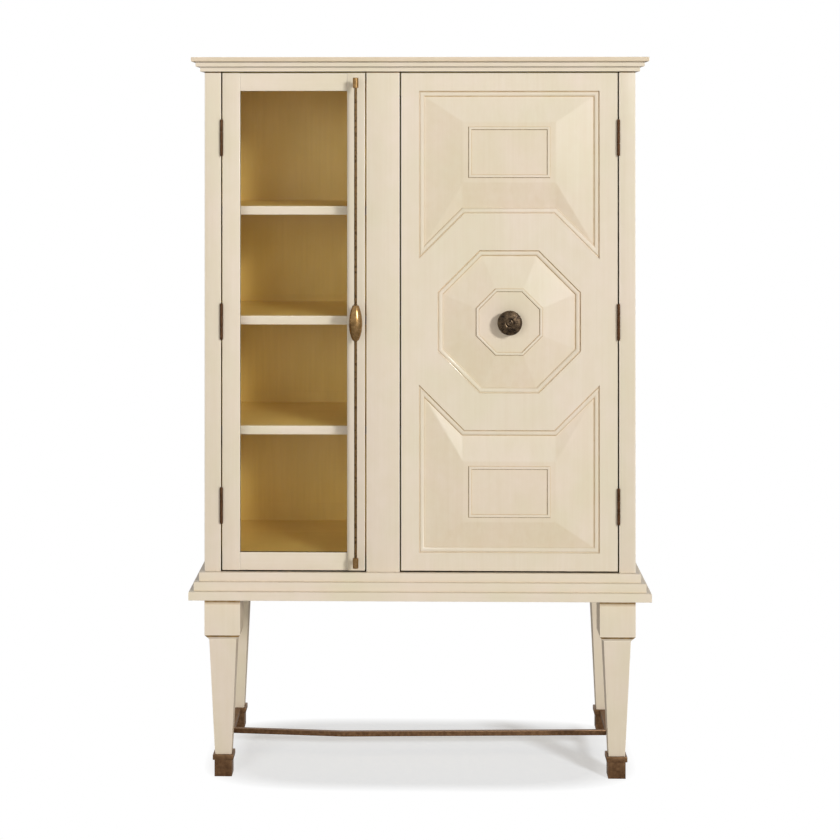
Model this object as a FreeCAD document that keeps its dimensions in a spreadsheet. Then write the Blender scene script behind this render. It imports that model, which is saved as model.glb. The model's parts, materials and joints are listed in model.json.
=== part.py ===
import FreeCAD, Part

import os
import re

import Sketcher
from FreeCAD import Vector

# Bar cabinet on legs: a case with a narrow glazed door on the left and a wide panelled door on the right.
# X runs to the right, Y to the back, Z up. The origin is on the floor, under the middle of the whole object.

# Counts of what repeats
PLINTH_STEPS = 3
CORNICE_STEPS = 3
LEFT_SHELVES = 3
RIGHT_SHELVES = 2
STEM_RAILS = 6

# Driving dimensions in millimetres: name, value, meaning
SIZES = [
    ("case_width", 1095, "outside of the side boards"),
    ("case_depth", 488, "face of the doors to the back panel"),
    ("case_height", 1271, "top of the plinth to the underside of the cornice"),
    ("board_thickness", 22, "sides, top and partition"),
    ("floor_thickness", 34, "case floor"),
    ("back_thickness", 8, "back panel"),
    ("back_rebate", 10, "rebate in the sides that the back panel sits in"),
    ("front_stock", 22, "doors and the stiles beside them"),
    ("stile_width", 42, "outer stiles"),
    ("centre_stile_width", 85, "stile between the doors"),
    ("left_door_width", 364, "glazed door"),
    ("door_gap", 3, "gap round each door"),
    ("door_stop_gap", 2.5, "gap between the back of a door and the case floor"),
    ("edge_bevel", 1.2, "eased front edges"),
    ("leg_height", 463, "floor to the underside of the plinth"),
    ("leg_block", 91, "square block at the top of a leg"),
    ("leg_block_height", 97, "height of that block"),
    ("leg_shoulder", 13, "height of the slope under the block"),
    ("leg_neck", 69, "square top of the taper"),
    ("leg_ankle", 42, "square bottom of the taper"),
    ("rear_leg_outset", 5, "rear legs further out than the front ones"),
    ("leg_tenon_width", 30, "square tenon of a leg in the plinth"),
    ("leg_tenon_height", 20, "square tenon of a leg in the plinth"),
    ("ferrule_height", 43, "metal shoe under its collar"),
    ("ferrule_width", 44.5, "square shoe"),
    ("ferrule_wall", 2.5, "wall of the shoe"),
    ("ferrule_floor", 3, "floor of the shoe"),
    ("collar_height", 13.4, "collar of the shoe"),
    ("collar_width", 53, "square collar"),
    ("collar_bevel", 1, "eased collar edges"),
    ("stretcher_thickness", 13, "square stretcher bars"),
    ("stretcher_bend_left", 205, "bend of the cross bar, left of the middle"),
    ("stretcher_bend_forward", 25, "how far the cross bar comes forward at the bend"),
    ("stretcher_bend_radius", 90, "radius of that bend"),
    ("plinth_height", 66, "plinth moulding"),
    ("plinth_overhang", 36.6, "reach of the plinth past the case"),
    ("plinth_rail", 72, "depth of the plinth moulding under the case"),
    ("plinth_round", 2.5, "rounded upper edges of the plinth steps"),
    ("base_board_thickness", 22, "boards under and behind the plinth's hollow"),
    ("cornice_height", 36, "cornice and top board"),
    ("cornice_overhang", 31.5, "reach of the cornice past the case"),
    ("cornice_rail", 60, "depth of the cornice moulding over the case"),
    ("cornice_round", 4, "rounded lower edges of the cornice steps"),
    ("shelf_thickness", 22.4, "shelves"),
    ("housing_depth", 6, "groove in the upright boards that holds a shelf end"),
    ("shelf_setback", 20, "shelf front behind the front of the case floor"),
    ("first_shelf_rise", 329.9, "case floor to the top of the lowest shelf"),
    ("top_bay_height", 321.3, "top of the highest left shelf to the case top"),
    ("stem_side_gap", 4.75, "side of the bay to the nearest rail of the stemware rack"),
    ("stem_slot", 32, "slot between two rails"),
    ("stem_web", 18, "web of a rail"),
    ("stem_flange", 8, "flange that carries the glass foot"),
    ("stem_height", 38, "height of a rail"),
    ("stem_length", 330, "length of a rail"),
    ("stem_setback", 25, "rail ends behind the front of the case floor"),
    ("door_frame_width", 46, "stiles and rails of the glazed door"),
    ("glass_rebate_width", 10, "rebate for the pane"),
    ("glass_rebate_depth", 12, "depth of that rebate"),
    ("glass_thickness", 4, "pane"),
    ("glass_fit", 1, "gap round the pane"),
    ("glazing_width", 8, "glazing bead behind the pane"),
    ("glazing_slope", 3, "slope of the glazing bead"),
    ("pull_standoff", 34, "axis of the pull in front of the door"),
    ("pull_end_margin", 26.5, "end of the door to the middle of a post"),
    ("rod_radius", 3.75, "rod of the pull"),
    ("post_radius", 7.25, "barrel of a post"),
    ("post_height", 26, "barrel of a post"),
    ("post_stem_radius", 5, "stem from the barrel to the door"),
    ("post_flange_radius", 9, "flange of the stem on the door"),
    ("post_flange_thickness", 3, "flange of the stem on the door"),
    ("grip_length", 91, "egg-shaped grip"),
    ("grip_width", 34, "egg-shaped grip"),
    ("grip_end_radius", 7, "flat end of the grip"),
    ("grip_drop", 3, "widest part of the grip below its middle"),
    ("grip_fit", 0.05, "gap between the grip and its rod"),
    ("door_margin", 46, "flat margin of the panelled door"),
    ("recess_depth", 13, "recess for each panel"),
    ("octagon_border", 93.4, "band between the octagon recess and the notches of the long ones"),
    ("moulding_width", 13, "moulding round each panel"),
    ("moulding_lip", 4, "flat front of the moulding"),
    ("moulding_step", 1.5, "front of the moulding behind the door face"),
    ("moulding_drop", 5, "inner edge of the moulding behind the door face"),
    ("panel_edge_depth", 7, "rim of a raised panel behind the door face"),
    ("panel_rise", 10.5, "field of a raised panel above its rim"),
    ("field_side_margin", 111.5, "side of a long recess to the flat field of its panel"),
    ("field_end_margin", 79, "end of a long recess to the flat field of its panel"),
    ("bead_side_margin", 14.5, "side of that field to its bead"),
    ("bead_end_margin", 12.5, "end of that field to its bead"),
    ("bead_width", 5.5, "bead"),
    ("bead_rise", 2.2, "bead"),
    ("octagon_field", 84, "door centre to the edge of the octagon field"),
    ("knob_width", 63, "knob"),
    ("knob_projection", 36, "knob, from the field of the octagon panel"),
    ("knob_rim_reach", 21, "back of the knob's rim from the field"),
    ("knob_rim_thickness", 10, "rim of the knob"),
    ("knob_rim_width", 5, "flat ring round the sunk face"),
    ("knob_face_drop", 1.5, "depth of the sunk face"),
    ("knob_boss_radius", 9, "boss in the middle of the face"),
    ("knob_neck_radius", 9, "neck of the knob"),
    ("knob_base_radius", 15, "base of the knob"),
    ("knob_base_thickness", 4, "base of the knob"),
    ("screw_radius", 2.5, "knob screw"),
    ("screw_head_radius", 6, "knob screw"),
    ("screw_head_height", 3, "knob screw"),
    ("screw_grip", 12, "knob screw in the knob"),
    ("screw_fit", 0.1, "gap round the screw"),
    ("hinge_radius", 4, "hinge knuckle"),
    ("hinge_height", 93, "hinge with the tips of its pin"),
    ("hinge_end_margin", 164.9, "end of the door to the middle of its nearest hinge"),
    ("hinge_face_gap", 0.3, "gap between a knuckle and the door face"),
    ("leaf_thickness", 1.2, "hinge leaf"),
    ("leaf_width", 18, "hinge leaf behind the door face"),
    ("knuckle_gap", 0.3, "gap between knuckles"),
    ("hinge_pin_radius", 2, "hinge pin"),
    ("hinge_pin_fit", 0.05, "gap round the hinge pin"),
    ("hinge_pin_tip", 2, "tip of the hinge pin outside the knuckles"),
    ("catch_inset", 55, "middle of a catch from the free edge of its door"),
    ("catch_width", 46, "magnetic catch"),
    ("catch_height", 13, "magnetic catch"),
    ("catch_depth", 24, "magnetic catch"),
    ("catch_gap", 0.4, "gap between a catch and its strike plate"),
    ("strike_width", 40, "strike plate"),
    ("strike_height", 12, "strike plate"),
    ("strike_thickness", 1.5, "strike plate"),
]

# Places and sizes that follow from the driving dimensions: name, formula
PLACES = [
    ("front_reach", "max(pull_standoff + grip_width / 2; plinth_overhang)"),
    ("front_y", "(front_reach - case_depth) / 2"),
    ("back_y", "front_y + case_depth"),
    ("board_back_y", "back_y - back_thickness"),
    ("door_back_y", "front_y + front_stock"),
    ("inner_front_y", "door_back_y + door_stop_gap"),
    ("board_depth", "board_back_y - inner_front_y"),
    ("side_x", "case_width / 2"),
    ("inner_x", "side_x - board_thickness"),
    ("plinth_step", "plinth_overhang / %d" % PLINTH_STEPS),
    ("plinth_step_height", "plinth_height / %d" % PLINTH_STEPS),
    ("cornice_step", "cornice_overhang / %d" % CORNICE_STEPS),
    ("cornice_step_height", "cornice_height / %d" % CORNICE_STEPS),
    ("case_base", "leg_height + plinth_height"),
    ("case_head", "case_base + case_height"),
    ("bay_floor", "case_base + floor_thickness"),
    ("bay_head", "case_head - board_thickness"),
    ("left_door_x", "stile_width + door_gap - side_x"),
    ("centre_stile_x", "left_door_x + left_door_width + door_gap"),
    ("right_door_x", "centre_stile_x + centre_stile_width + door_gap"),
    ("right_door_end_x", "side_x - stile_width - door_gap"),
    ("right_door_width", "right_door_end_x - right_door_x"),
    ("right_door_centre_x", "right_door_x + right_door_width / 2"),
    ("partition_x", "centre_stile_x + (centre_stile_width - board_thickness) / 2"),
    ("right_bay_x", "partition_x + board_thickness"),
    ("left_bay_width", "partition_x + inner_x"),
    ("right_bay_width", "inner_x - right_bay_x"),
    ("door_base", "case_base + door_gap"),
    ("door_height", "case_height - 2 * door_gap"),
    ("door_centre_z", "door_base + door_height / 2"),
    ("leg_x", "side_x - leg_block / 2"),
    ("rear_leg_x", "leg_x + rear_leg_outset"),
    ("front_leg_y", "front_y + leg_block / 2"),
    ("rear_leg_y", "back_y - leg_block / 2"),
    ("block_base", "leg_height - leg_block_height"),
    ("neck_z", "block_base - leg_shoulder"),
    ("ankle_z", "ferrule_height + collar_height"),
    ("tenon_width", "ferrule_width - 2 * ferrule_wall"),
    ("stretcher_z", "ferrule_height + (collar_height - stretcher_thickness) / 2"),
    ("stretcher_mid_y", "(front_leg_y + rear_leg_y) / 2"),
    ("shelf_front_y", "inner_front_y + shelf_setback"),
    ("shelf_depth", "board_back_y - shelf_front_y"),
    ("first_shelf_base", "bay_floor + first_shelf_rise - shelf_thickness"),
    ("shelf_room", "bay_head - bay_floor - first_shelf_rise - top_bay_height"),
    ("shelf_spacing", "shelf_room / %d" % (LEFT_SHELVES - 1)),
    ("moulding_top_z", "case_head + cornice_height - cornice_step_height"),
    ("stem_pitch", "(right_bay_width - 2 * stem_side_gap + stem_slot) / %d" % STEM_RAILS),
    ("stem_flange_width", "stem_pitch - stem_slot"),
    ("opening_width", "left_door_width - 2 * door_frame_width"),
    ("opening_height", "door_height - 2 * door_frame_width"),
    ("pane_room_x", "left_door_x + door_frame_width - glass_rebate_width"),
    ("pane_room_z", "door_base + door_frame_width - glass_rebate_width"),
    ("pane_room_width", "opening_width + 2 * glass_rebate_width"),
    ("pane_room_height", "opening_height + 2 * glass_rebate_width"),
    ("pane_y", "door_back_y - glass_rebate_depth"),
    ("glazing_y", "pane_y + glass_thickness"),
    ("glazing_depth", "glass_rebate_depth - glass_thickness"),
    ("pull_span", "door_height - 2 * pull_end_margin"),
    ("pull_x", "left_door_x + left_door_width - door_frame_width / 2"),
    ("pull_y", "front_y - pull_standoff"),
    ("panel_half_width", "right_door_width / 2 - door_margin"),
    ("panel_end", "door_height / 2 - door_margin"),
    ("octagon_band", "right_door_width / 2"),
    ("octagon_ring", "octagon_band - octagon_border"),
    ("octagon_share", "tan(22.5 deg)"),
    ("diagonal_share", "sqrt(2)"),
    ("field_width", "2 * (panel_half_width - field_side_margin)"),
    ("field_height", "panel_end - octagon_band - 2 * field_end_margin"),
    ("field_offset", "(panel_end + octagon_band) / 2"),
    ("field_depth", "panel_edge_depth - panel_rise"),
    ("bead_frame_width", "field_width - 2 * bead_side_margin"),
    ("bead_frame_height", "field_height - 2 * bead_end_margin"),
    ("hinge_spacing", "door_height / 2 - hinge_end_margin"),
    ("hinge_offset", "hinge_radius + hinge_face_gap"),
    ("hinge_y", "front_y - hinge_offset"),
    ("left_hinge_x", "left_door_x - door_gap / 2"),
    ("right_hinge_x", "right_door_end_x + door_gap / 2"),
    ("hinge_base_z", "door_centre_z - hinge_height / 2"),
    ("knuckle_height", "(hinge_height - 2 * hinge_pin_tip) / 3"),
    ("knob_face_radius", "knob_width / 2 - knob_rim_width"),
    ("knob_face_reach", "knob_rim_reach + knob_rim_thickness"),
    ("left_catch_x", "left_door_x + left_door_width - catch_inset"),
    ("right_catch_x", "right_door_x + catch_inset"),
    ("catch_y", "door_back_y + strike_thickness + catch_gap"),
]

# A length this small counts as zero when an edge is looked up by its place
NEAR = 0.001

doc = FreeCAD.newDocument("bar_cabinet")
SHEET_OF = {}
NODES = []


def formula(text):
    """Write a formula with the sheet that holds each named size."""
    return re.sub(r"[a-z_]+", lambda word: SHEET_OF.get(word.group(), "") + word.group(), text)


def fill_sheets():
    """Put the driving dimensions in one spreadsheet and the places that follow from them in another."""
    driving = doc.addObject("Spreadsheet::Sheet", "Sizes")
    for row, (alias, number, meaning) in enumerate(SIZES, start=1):
        driving.set("A%d" % row, meaning)
        driving.set("B%d" % row, str(number))
        driving.setAlias("B%d" % row, alias)
        SHEET_OF[alias] = "Sizes."
    following = doc.addObject("Spreadsheet::Sheet", "Places")
    for row, (alias, text) in enumerate(PLACES, start=1):
        following.set("A%d" % row, text)
        following.set("B%d" % row, "=" + formula(text))
        following.setAlias("B%d" % row, alias)
        SHEET_OF[alias] = ""
    doc.recompute()
    for alias, text in PLACES:
        SHEET_OF[alias] = "Places."
    return driving


def size(text):
    """Work out a formula of named sizes as a plain number."""
    return float(sheet.evalExpression(formula(text)))


def place(piece, x="0", y="0", z="0"):
    """Tie the place of a piece to named sizes."""
    for axis, text in (("x", x), ("y", y), ("z", z)):
        piece.setExpression("Placement.Base." + axis, formula(text))
    return piece


def body(label, x="0", y="0", z="0"):
    """Start a sub-part as a body with its own origin."""
    piece = doc.addObject("PartDesign::Body", label)
    piece.Label = label
    return place(piece, x, y, z)


def sketch(piece, plane, lift="0"):
    """Attach a sketch to one of the body's own planes, lifted along that plane's normal."""
    flat = piece.newObject("Sketcher::SketchObject", piece.Name + "_sketch")
    support = next(item for item in piece.Origin.OriginFeatures if item.Role == plane)
    flat.AttachmentSupport = [(support, "")]
    flat.MapMode = "FlatFace"
    flat.setExpression("AttachmentOffset.Base.z", formula(lift))
    return flat


def tie(flat, geometry, end, x, y):
    """Tie a point of a sketch to named sizes."""
    for kind, text in (("DistanceX", x), ("DistanceY", y)):
        number = flat.addConstraint(Sketcher.Constraint(kind, -1, 1, geometry, end, size(text)))
        flat.setExpression("Constraints[%d]" % number, formula(text))


def point(corner):
    """The place in a sketch that a pair of formulas gives."""
    return Vector(size(corner[0]), size(corner[1]), 0)


def outline(flat, corners, closed=True):
    """Draw straight lines from corner to corner. A corner marked "arc" is the middle of an arc instead."""
    ends = [corner for corner in corners if corner[-1] != "arc"]
    middles = {}
    for index, corner in enumerate(corners):
        if corner[-1] == "arc":
            middles[ends.index(corners[index - 1])] = corner
    first = flat.GeometryCount
    runs = len(ends) if closed else len(ends) - 1
    for index in range(runs):
        start, end = point(ends[index]), point(ends[(index + 1) % len(ends)])
        if index in middles:
            middle = point(middles[index])
            turn = (middle - start).cross(end - middle).z
            flat.addGeometry(Part.Arc(start, middle, end) if turn > 0 else Part.Arc(end, middle, start))
        else:
            flat.addGeometry(Part.LineSegment(start, end))
    for index in range(runs - 1):
        join(flat, first + index, first + index + 1)
    if closed:
        join(flat, first + runs - 1, first)
    for index in range(runs):
        tie(flat, first + index, start_of(flat, first + index, point(ends[index])), *ends[index][:2])
    if not closed:
        tie(flat, first + runs - 1, 2, *ends[-1][:2])
    for index, corner in middles.items():
        guide = flat.addGeometry(Part.Point(point(corner)), True)
        flat.addConstraint(Sketcher.Constraint("PointOnObject", guide, 1, first + index))
        tie(flat, guide, 1, *corner[:2])
    return flat


def start_of(flat, geometry, corner):
    """Number of the end of a line or arc that lies at a corner."""
    return 1 if flat.getPoint(geometry, 1).distanceToPoint(corner) < NEAR else 2


def join(flat, before, after):
    """Make two neighbouring lines or arcs meet in one corner."""
    pairs = [(a, b) for a in (1, 2) for b in (1, 2)]
    a, b = min(pairs, key=lambda pair: flat.getPoint(before, pair[0]).distanceToPoint(flat.getPoint(after, pair[1])))
    flat.addConstraint(Sketcher.Constraint("Coincident", before, a, after, b))


def circle(flat, radius, x="0", y="0"):
    """Draw a circle tied to named sizes."""
    number = flat.addGeometry(Part.Circle(point((x, y)), Vector(0, 0, 1), size(radius)))
    tie(flat, number, 3, x, y)
    fixed = flat.addConstraint(Sketcher.Constraint("Radius", number, size(radius)))
    flat.setExpression("Constraints[%d]" % fixed, formula(radius))
    return flat


def box(x0, y0, x1, y1):
    """Corners of a rectangle from two opposite ones."""
    return [(x0, y0), (x1, y0), (x1, y1), (x0, y1)]


def square(width, x="0", y="0"):
    """Corners of a square round a point."""
    half = "(%s) / 2" % width
    return box("%s - %s" % (x, half), "%s - %s" % (y, half), "%s + %s" % (x, half), "%s + %s" % (y, half))


def pad(piece, flat, length, backwards=False):
    """Raise a sketch into a solid."""
    solid = piece.newObject("PartDesign::Pad", piece.Name + "_pad")
    solid.Profile = flat
    solid.setExpression("Length", formula(length))
    solid.Reversed = backwards
    return solid


def pocket(piece, flat, depth, backwards=False):
    """Cut a sketch out of a solid, against the plane's normal unless backwards is set."""
    cut = piece.newObject("PartDesign::Pocket", piece.Name + "_pocket")
    cut.Profile = flat
    cut.setExpression("Length", formula(depth))
    cut.Reversed = backwards
    return cut


def carve(piece, front, low):
    """Cut a funnel with flat sides between two outlines of as many corners."""
    cut = piece.newObject("PartDesign::SubtractiveLoft", piece.Name + "_slope")
    cut.Profile = front
    cut.Sections = [low]
    cut.Ruled = True
    return cut


def frustum(piece, top, top_width, bottom, bottom_width):
    """Square frustum between two levels, as a wedge turned upright."""
    solid = piece.newObject("PartDesign::AdditiveWedge", piece.Name + "_frustum")
    solid.Placement.Rotation = FreeCAD.Rotation(Vector(1, 0, 0), -90)
    for name, width in (("", top_width), ("2", bottom_width)):
        for axis in "XZ":
            solid.setExpression(axis + name + "min", formula("-(%s) / 2" % width))
            solid.setExpression(axis + name + "max", formula("(%s) / 2" % width))
    solid.Ymin = 0
    solid.setExpression("Ymax", formula("%s - (%s)" % (top, bottom)))
    solid.setExpression("Placement.Base.z", formula(top))
    return solid


def revolve(piece, flat, axis="V_Axis"):
    """Turn a sketch once round one of its own axes."""
    solid = piece.newObject("PartDesign::Revolution", piece.Name + "_revolve")
    solid.Profile = flat
    solid.ReferenceAxis = (flat, [axis])
    solid.Angle = 360
    return solid


def repeat(piece, feature, flat, axis, pitch, count):
    """Repeat a feature along an axis of its sketch."""
    row = piece.newObject("PartDesign::LinearPattern", piece.Name + "_row")
    row.Originals = [feature]
    row.Direction = (flat, [axis])
    row.setExpression("Length", formula("(%s) * %d" % (pitch, count - 1)))
    row.Occurrences = count
    piece.Tip = row
    return row


def dress(piece, kind, measure, amount, chosen):
    """Fillet or chamfer the edges of a body that a test on their bounding box picks."""
    doc.recompute()
    base = piece.Tip
    names = ["Edge%d" % number for number, edge in enumerate(base.Shape.Edges, start=1) if chosen(edge.BoundBox)]
    soft = piece.newObject("PartDesign::" + kind, piece.Name + "_" + kind.lower())
    soft.Base = (base, names)
    soft.setExpression(measure, formula(amount))
    return soft


def rounded(piece, radius, chosen):
    """Round the chosen edges of a body."""
    return dress(piece, "Fillet", "Radius", radius, chosen)


def bevelled(piece, width, chosen):
    """Bevel the chosen edges of a body."""
    return dress(piece, "Chamfer", "Size", width, chosen)


def level_front_edge(edge):
    """True for a level edge in the front face of a body."""
    return edge.YMax < NEAR and edge.XLength > NEAR


def upright_front_edge(edge):
    """True for a vertical edge in the front face of a body."""
    return edge.YMax < NEAR and edge.ZLength > NEAR and edge.XLength < NEAR


def front_edge(edge):
    """True for any edge in the front face of a body."""
    return edge.YMax < NEAR


def node(piece):
    """Count a finished piece as a sub-part that gets a file."""
    NODES.append(piece)
    return piece


def copies(master, places):
    """The master at the first place and linked copies at the others."""
    place(master, *places[0])
    members = [master]
    for number, spot in enumerate(places[1:], start=2):
        link = doc.addObject("App::Link", "%s_%d" % (master.Name, number))
        link.LinkedObject = master
        members.append(place(link, *spot))
    return members


def group(label, members):
    """Keep separate solids of one kind together as one sub-part."""
    bundle = doc.addObject("Part::Compound", label)
    bundle.Label = label
    bundle.Links = members
    return node(bundle)


# Case

def side_board(label, side):
    """Side board with a rebate for the back panel and housings for the shelves."""
    piece = body(label, "%d * side_x" % side, "door_back_y", "case_base")
    depth = "(case_depth - front_stock)"
    rebate = "(board_thickness - back_rebate)"
    section = [
        ("0", "0"),
        ("%d * board_thickness" % -side, "0"),
        ("%d * board_thickness" % -side, depth + " - back_thickness"),
        ("%d * %s" % (-side, rebate), depth + " - back_thickness"),
        ("%d * %s" % (-side, rebate), depth),
        ("0", depth),
    ]
    pad(piece, outline(sketch(piece, "XY_Plane"), section), "case_height")
    shelves = LEFT_SHELVES if side < 0 else RIGHT_SHELVES
    housings(piece, "%d * board_thickness" % -side, "case_base", shelves, side > 0)
    return node(piece)


def housings(piece, face, base, shelves, backwards):
    """Stopped grooves for the shelf ends in one face of an upright board that starts at a level."""
    flat = sketch(piece, "YZ_Plane", face)
    low = "first_shelf_base - " + base
    outline(flat, box("shelf_front_y - door_back_y", low, "board_back_y - door_back_y", low + " + shelf_thickness"))
    groove = pocket(piece, flat, "housing_depth", backwards)
    repeat(piece, groove, flat, "V_Axis", "shelf_spacing", shelves)


def partition():
    """Upright board between the two bays."""
    piece = body("centre_partition", "partition_x", "door_back_y", "bay_floor")
    depth = "board_back_y - door_back_y"
    pad(piece, outline(sketch(piece, "XY_Plane"), box("0", "0", "board_thickness", depth)), "bay_head - bay_floor")
    housings(piece, "0", "bay_floor", LEFT_SHELVES, True)
    housings(piece, "board_thickness", "bay_floor", RIGHT_SHELVES, False)
    return node(piece)


def level_board(label, x, y, z, width, depth, thickness):
    """Horizontal board with its left front lower corner at a place."""
    piece = body(label, x, y, z)
    pad(piece, outline(sketch(piece, "XY_Plane"), box("0", "0", width, depth)), thickness)
    return piece


def back_panel():
    """Thin panel let into the rebates of the side boards."""
    piece = body("back_panel", "-(inner_x + back_rebate)", "board_back_y", "case_base")
    face = box("0", "0", "2 * (inner_x + back_rebate)", "case_height")
    pad(piece, outline(sketch(piece, "XZ_Plane"), face), "back_thickness", True)
    return node(piece)


def stile(label, x, width):
    """Upright of the case front, flush with the doors."""
    piece = body(label, x, "front_y", "case_base")
    pad(piece, outline(sketch(piece, "XY_Plane"), box("0", "0", width, "front_stock")), "case_height")
    bevelled(piece, "edge_bevel", upright_front_edge)
    return node(piece)


def stepped_moulding(label, base, steps, step, step_height, rail, nose, rising):
    """Stepped moulding mitred round the front and both sides of the case, with a rounded nose on each step."""
    piece = body(label, "0", "back_y", base)
    path = [
        ("-side_x", "0"),
        ("-side_x", "-case_depth"),
        ("side_x", "-case_depth"),
        ("side_x", "0"),
    ]
    line = outline(sketch(piece, "XY_Plane"), path, closed=False)
    section = [("%s - side_x" % rail, "0")]
    noses = []
    for index in range(steps):
        out = "%d * %s" % (steps - index if rising else index + 1, step)
        section.append(("-side_x - " + out, "%d * %s" % (index, step_height)))
        section.append(("-side_x - " + out, "%d * %s" % (index + 1, step_height)))
        noses.append((size(out), size("%d * %s" % (index + rising, step_height))))
    section.append(("%s - side_x" % rail, "%d * %s" % (steps, step_height)))
    sweep = piece.newObject("PartDesign::AdditivePipe", piece.Name + "_sweep")
    sweep.Profile = outline(sketch(piece, "XZ_Plane"), section)
    sweep.Spine = (line, ["Edge1", "Edge2", "Edge3"])
    sweep.Transition = "Right corner"
    rounded(piece, nose, lambda edge: any(on_nose(edge, reach, level) for reach, level in noses))
    return piece


def on_nose(edge, reach, level):
    """True for a level outer edge of a moulding that lies at a reach from the case."""
    flat = abs(edge.ZMin - level) < NEAR and abs(edge.ZMax - level) < NEAR
    wide = abs(max(-edge.XMin, edge.XMax) - size("side_x") - reach) < NEAR
    long = max(edge.XLength, edge.YLength) > size("case_depth")
    return flat and wide and long


def plinth():
    """Plinth moulding that the case stands on, mortised for the legs."""
    piece = stepped_moulding("plinth_moulding", "leg_height", PLINTH_STEPS, "plinth_step", "plinth_step_height",
                             "plinth_rail", "plinth_round", True)
    flat = sketch(piece, "XY_Plane")
    for side in (-1, 1):
        for row in ("front", "rear"):
            x, y = "%d * %s" % (side, "leg_x" if row == "front" else "rear_leg_x"), row + "_leg_y - back_y"
            outline(flat, square("leg_tenon_width", x, y))
    pocket(piece, flat, "leg_tenon_height", True)
    return node(piece)


def top_board():
    """Top board: its full-size upper part is the top step of the cornice, the rest sits inside the moulding."""
    piece = body("top_board", "0", "back_y", "moulding_top_z")
    wide, deep = "side_x + cornice_overhang", "case_depth + cornice_overhang"
    pad(piece, outline(sketch(piece, "XY_Plane"), box("-(%s)" % wide, "-(%s)" % deep, wide, "0")),
        "cornice_step_height")
    reach = size("cornice_overhang")
    rounded(piece, "cornice_round", lambda edge: on_nose(edge, reach, 0))
    inner, front = "side_x - cornice_rail", "case_depth - cornice_rail"
    rest = outline(sketch(piece, "XY_Plane"), box("-(%s)" % inner, "-(%s)" % front, inner, "0"))
    pad(piece, rest, "cornice_height - cornice_step_height", True)
    return node(piece)


def shelf(label, x, width, row):
    """Shelf with an eased front edge, housed in the upright boards."""
    level = "first_shelf_base + %d * shelf_spacing" % row
    piece = level_board(label, x + " - housing_depth", "shelf_front_y", level, width + " + 2 * housing_depth",
                        "shelf_depth", "shelf_thickness")
    bevelled(piece, "edge_bevel", level_front_edge)
    return node(piece)


def stemware_rails():
    """Rails under the case top that wine glasses hang between by their feet."""
    piece = body("stemware_rails", "right_bay_x + (right_bay_width - %d * stem_pitch) / 2" % (STEM_RAILS - 1),
                 "inner_front_y + stem_setback", "bay_head - stem_height")
    half, web = "stem_flange_width / 2", "stem_web / 2"
    section = [
        ("-" + half, "0"),
        (half, "0"),
        (half, "stem_flange"),
        (web, "stem_flange"),
        (web, "stem_height"),
        ("-" + web, "stem_height"),
        ("-" + web, "stem_flange"),
        ("-" + half, "stem_flange"),
    ]
    flat = outline(sketch(piece, "XZ_Plane"), section)
    rail = pad(piece, flat, "stem_length", True)
    repeat(piece, rail, flat, "H_Axis", "stem_pitch", STEM_RAILS)
    return node(piece)


def case():
    """All boards and mouldings of the case."""
    side_board("left_side", -1)
    side_board("right_side", 1)
    partition()
    node(level_board("case_floor", "-inner_x", "inner_front_y", "case_base", "2 * inner_x", "board_depth",
                     "floor_thickness"))
    node(level_board("case_top", "-inner_x", "inner_front_y", "bay_head", "2 * inner_x", "board_depth",
                     "board_thickness"))
    back_panel()
    stile("left_stile", "-side_x", "stile_width")
    stile("centre_stile", "centre_stile_x", "centre_stile_width")
    stile("right_stile", "side_x - stile_width", "stile_width")
    plinth()
    node(level_board("base_board", "plinth_rail - side_x", "front_y + plinth_rail", "leg_height",
                     "2 * (side_x - plinth_rail)", "case_depth - plinth_rail", "base_board_thickness"))
    node(level_board("plinth_back_rail", "plinth_rail - side_x", "back_y - base_board_thickness",
                     "leg_height + base_board_thickness", "2 * (side_x - plinth_rail)", "base_board_thickness",
                     "plinth_height - base_board_thickness"))
    node(stepped_moulding("cornice_moulding", "case_head", CORNICE_STEPS - 1, "cornice_step", "cornice_step_height",
                          "cornice_rail", "cornice_round", False))
    top_board()
    for row, name in enumerate(("lower", "middle", "upper")):
        shelf("left_%s_shelf" % name, "-inner_x", "left_bay_width", row)
    for row, name in enumerate(("lower", "upper")):
        shelf("right_%s_shelf" % name, "right_bay_x", "right_bay_width", row)
    stemware_rails()


# Legs, ferrules and stretcher

def leg(label, x, y):
    """Square tapered leg with a block, a tenon for the plinth and a tenon for its ferrule."""
    piece = body(label, x, y)
    block = outline(sketch(piece, "XY_Plane", "block_base"), square("leg_block"))
    pad(piece, block, "leg_block_height")
    tenon = outline(sketch(piece, "XY_Plane", "leg_height"), square("leg_tenon_width"))
    pad(piece, tenon, "leg_tenon_height")
    frustum(piece, "block_base", "leg_block", "neck_z", "leg_neck")
    frustum(piece, "neck_z", "leg_neck", "ankle_z", "leg_ankle")
    foot = outline(sketch(piece, "XY_Plane", "ferrule_floor"), square("tenon_width"))
    pad(piece, foot, "ankle_z - ferrule_floor")
    return node(piece)


def ferrule(label, x, y):
    """Metal shoe with a square collar."""
    piece = body(label, x, y)
    pad(piece, outline(sketch(piece, "XY_Plane"), square("ferrule_width")), "ferrule_height")
    pad(piece, outline(sketch(piece, "XY_Plane", "ferrule_height"), square("collar_width")), "collar_height")
    bevelled(piece, "collar_bevel", lambda edge: edge.ZMin > size("ferrule_height") - NEAR
             and max(-edge.XMin, edge.XMax, -edge.YMin, edge.YMax) > size("collar_width / 2") - NEAR)
    socket = outline(sketch(piece, "XY_Plane", "ankle_z"), square("tenon_width"))
    pocket(piece, socket, "ankle_z - ferrule_floor")
    return node(piece)


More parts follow.
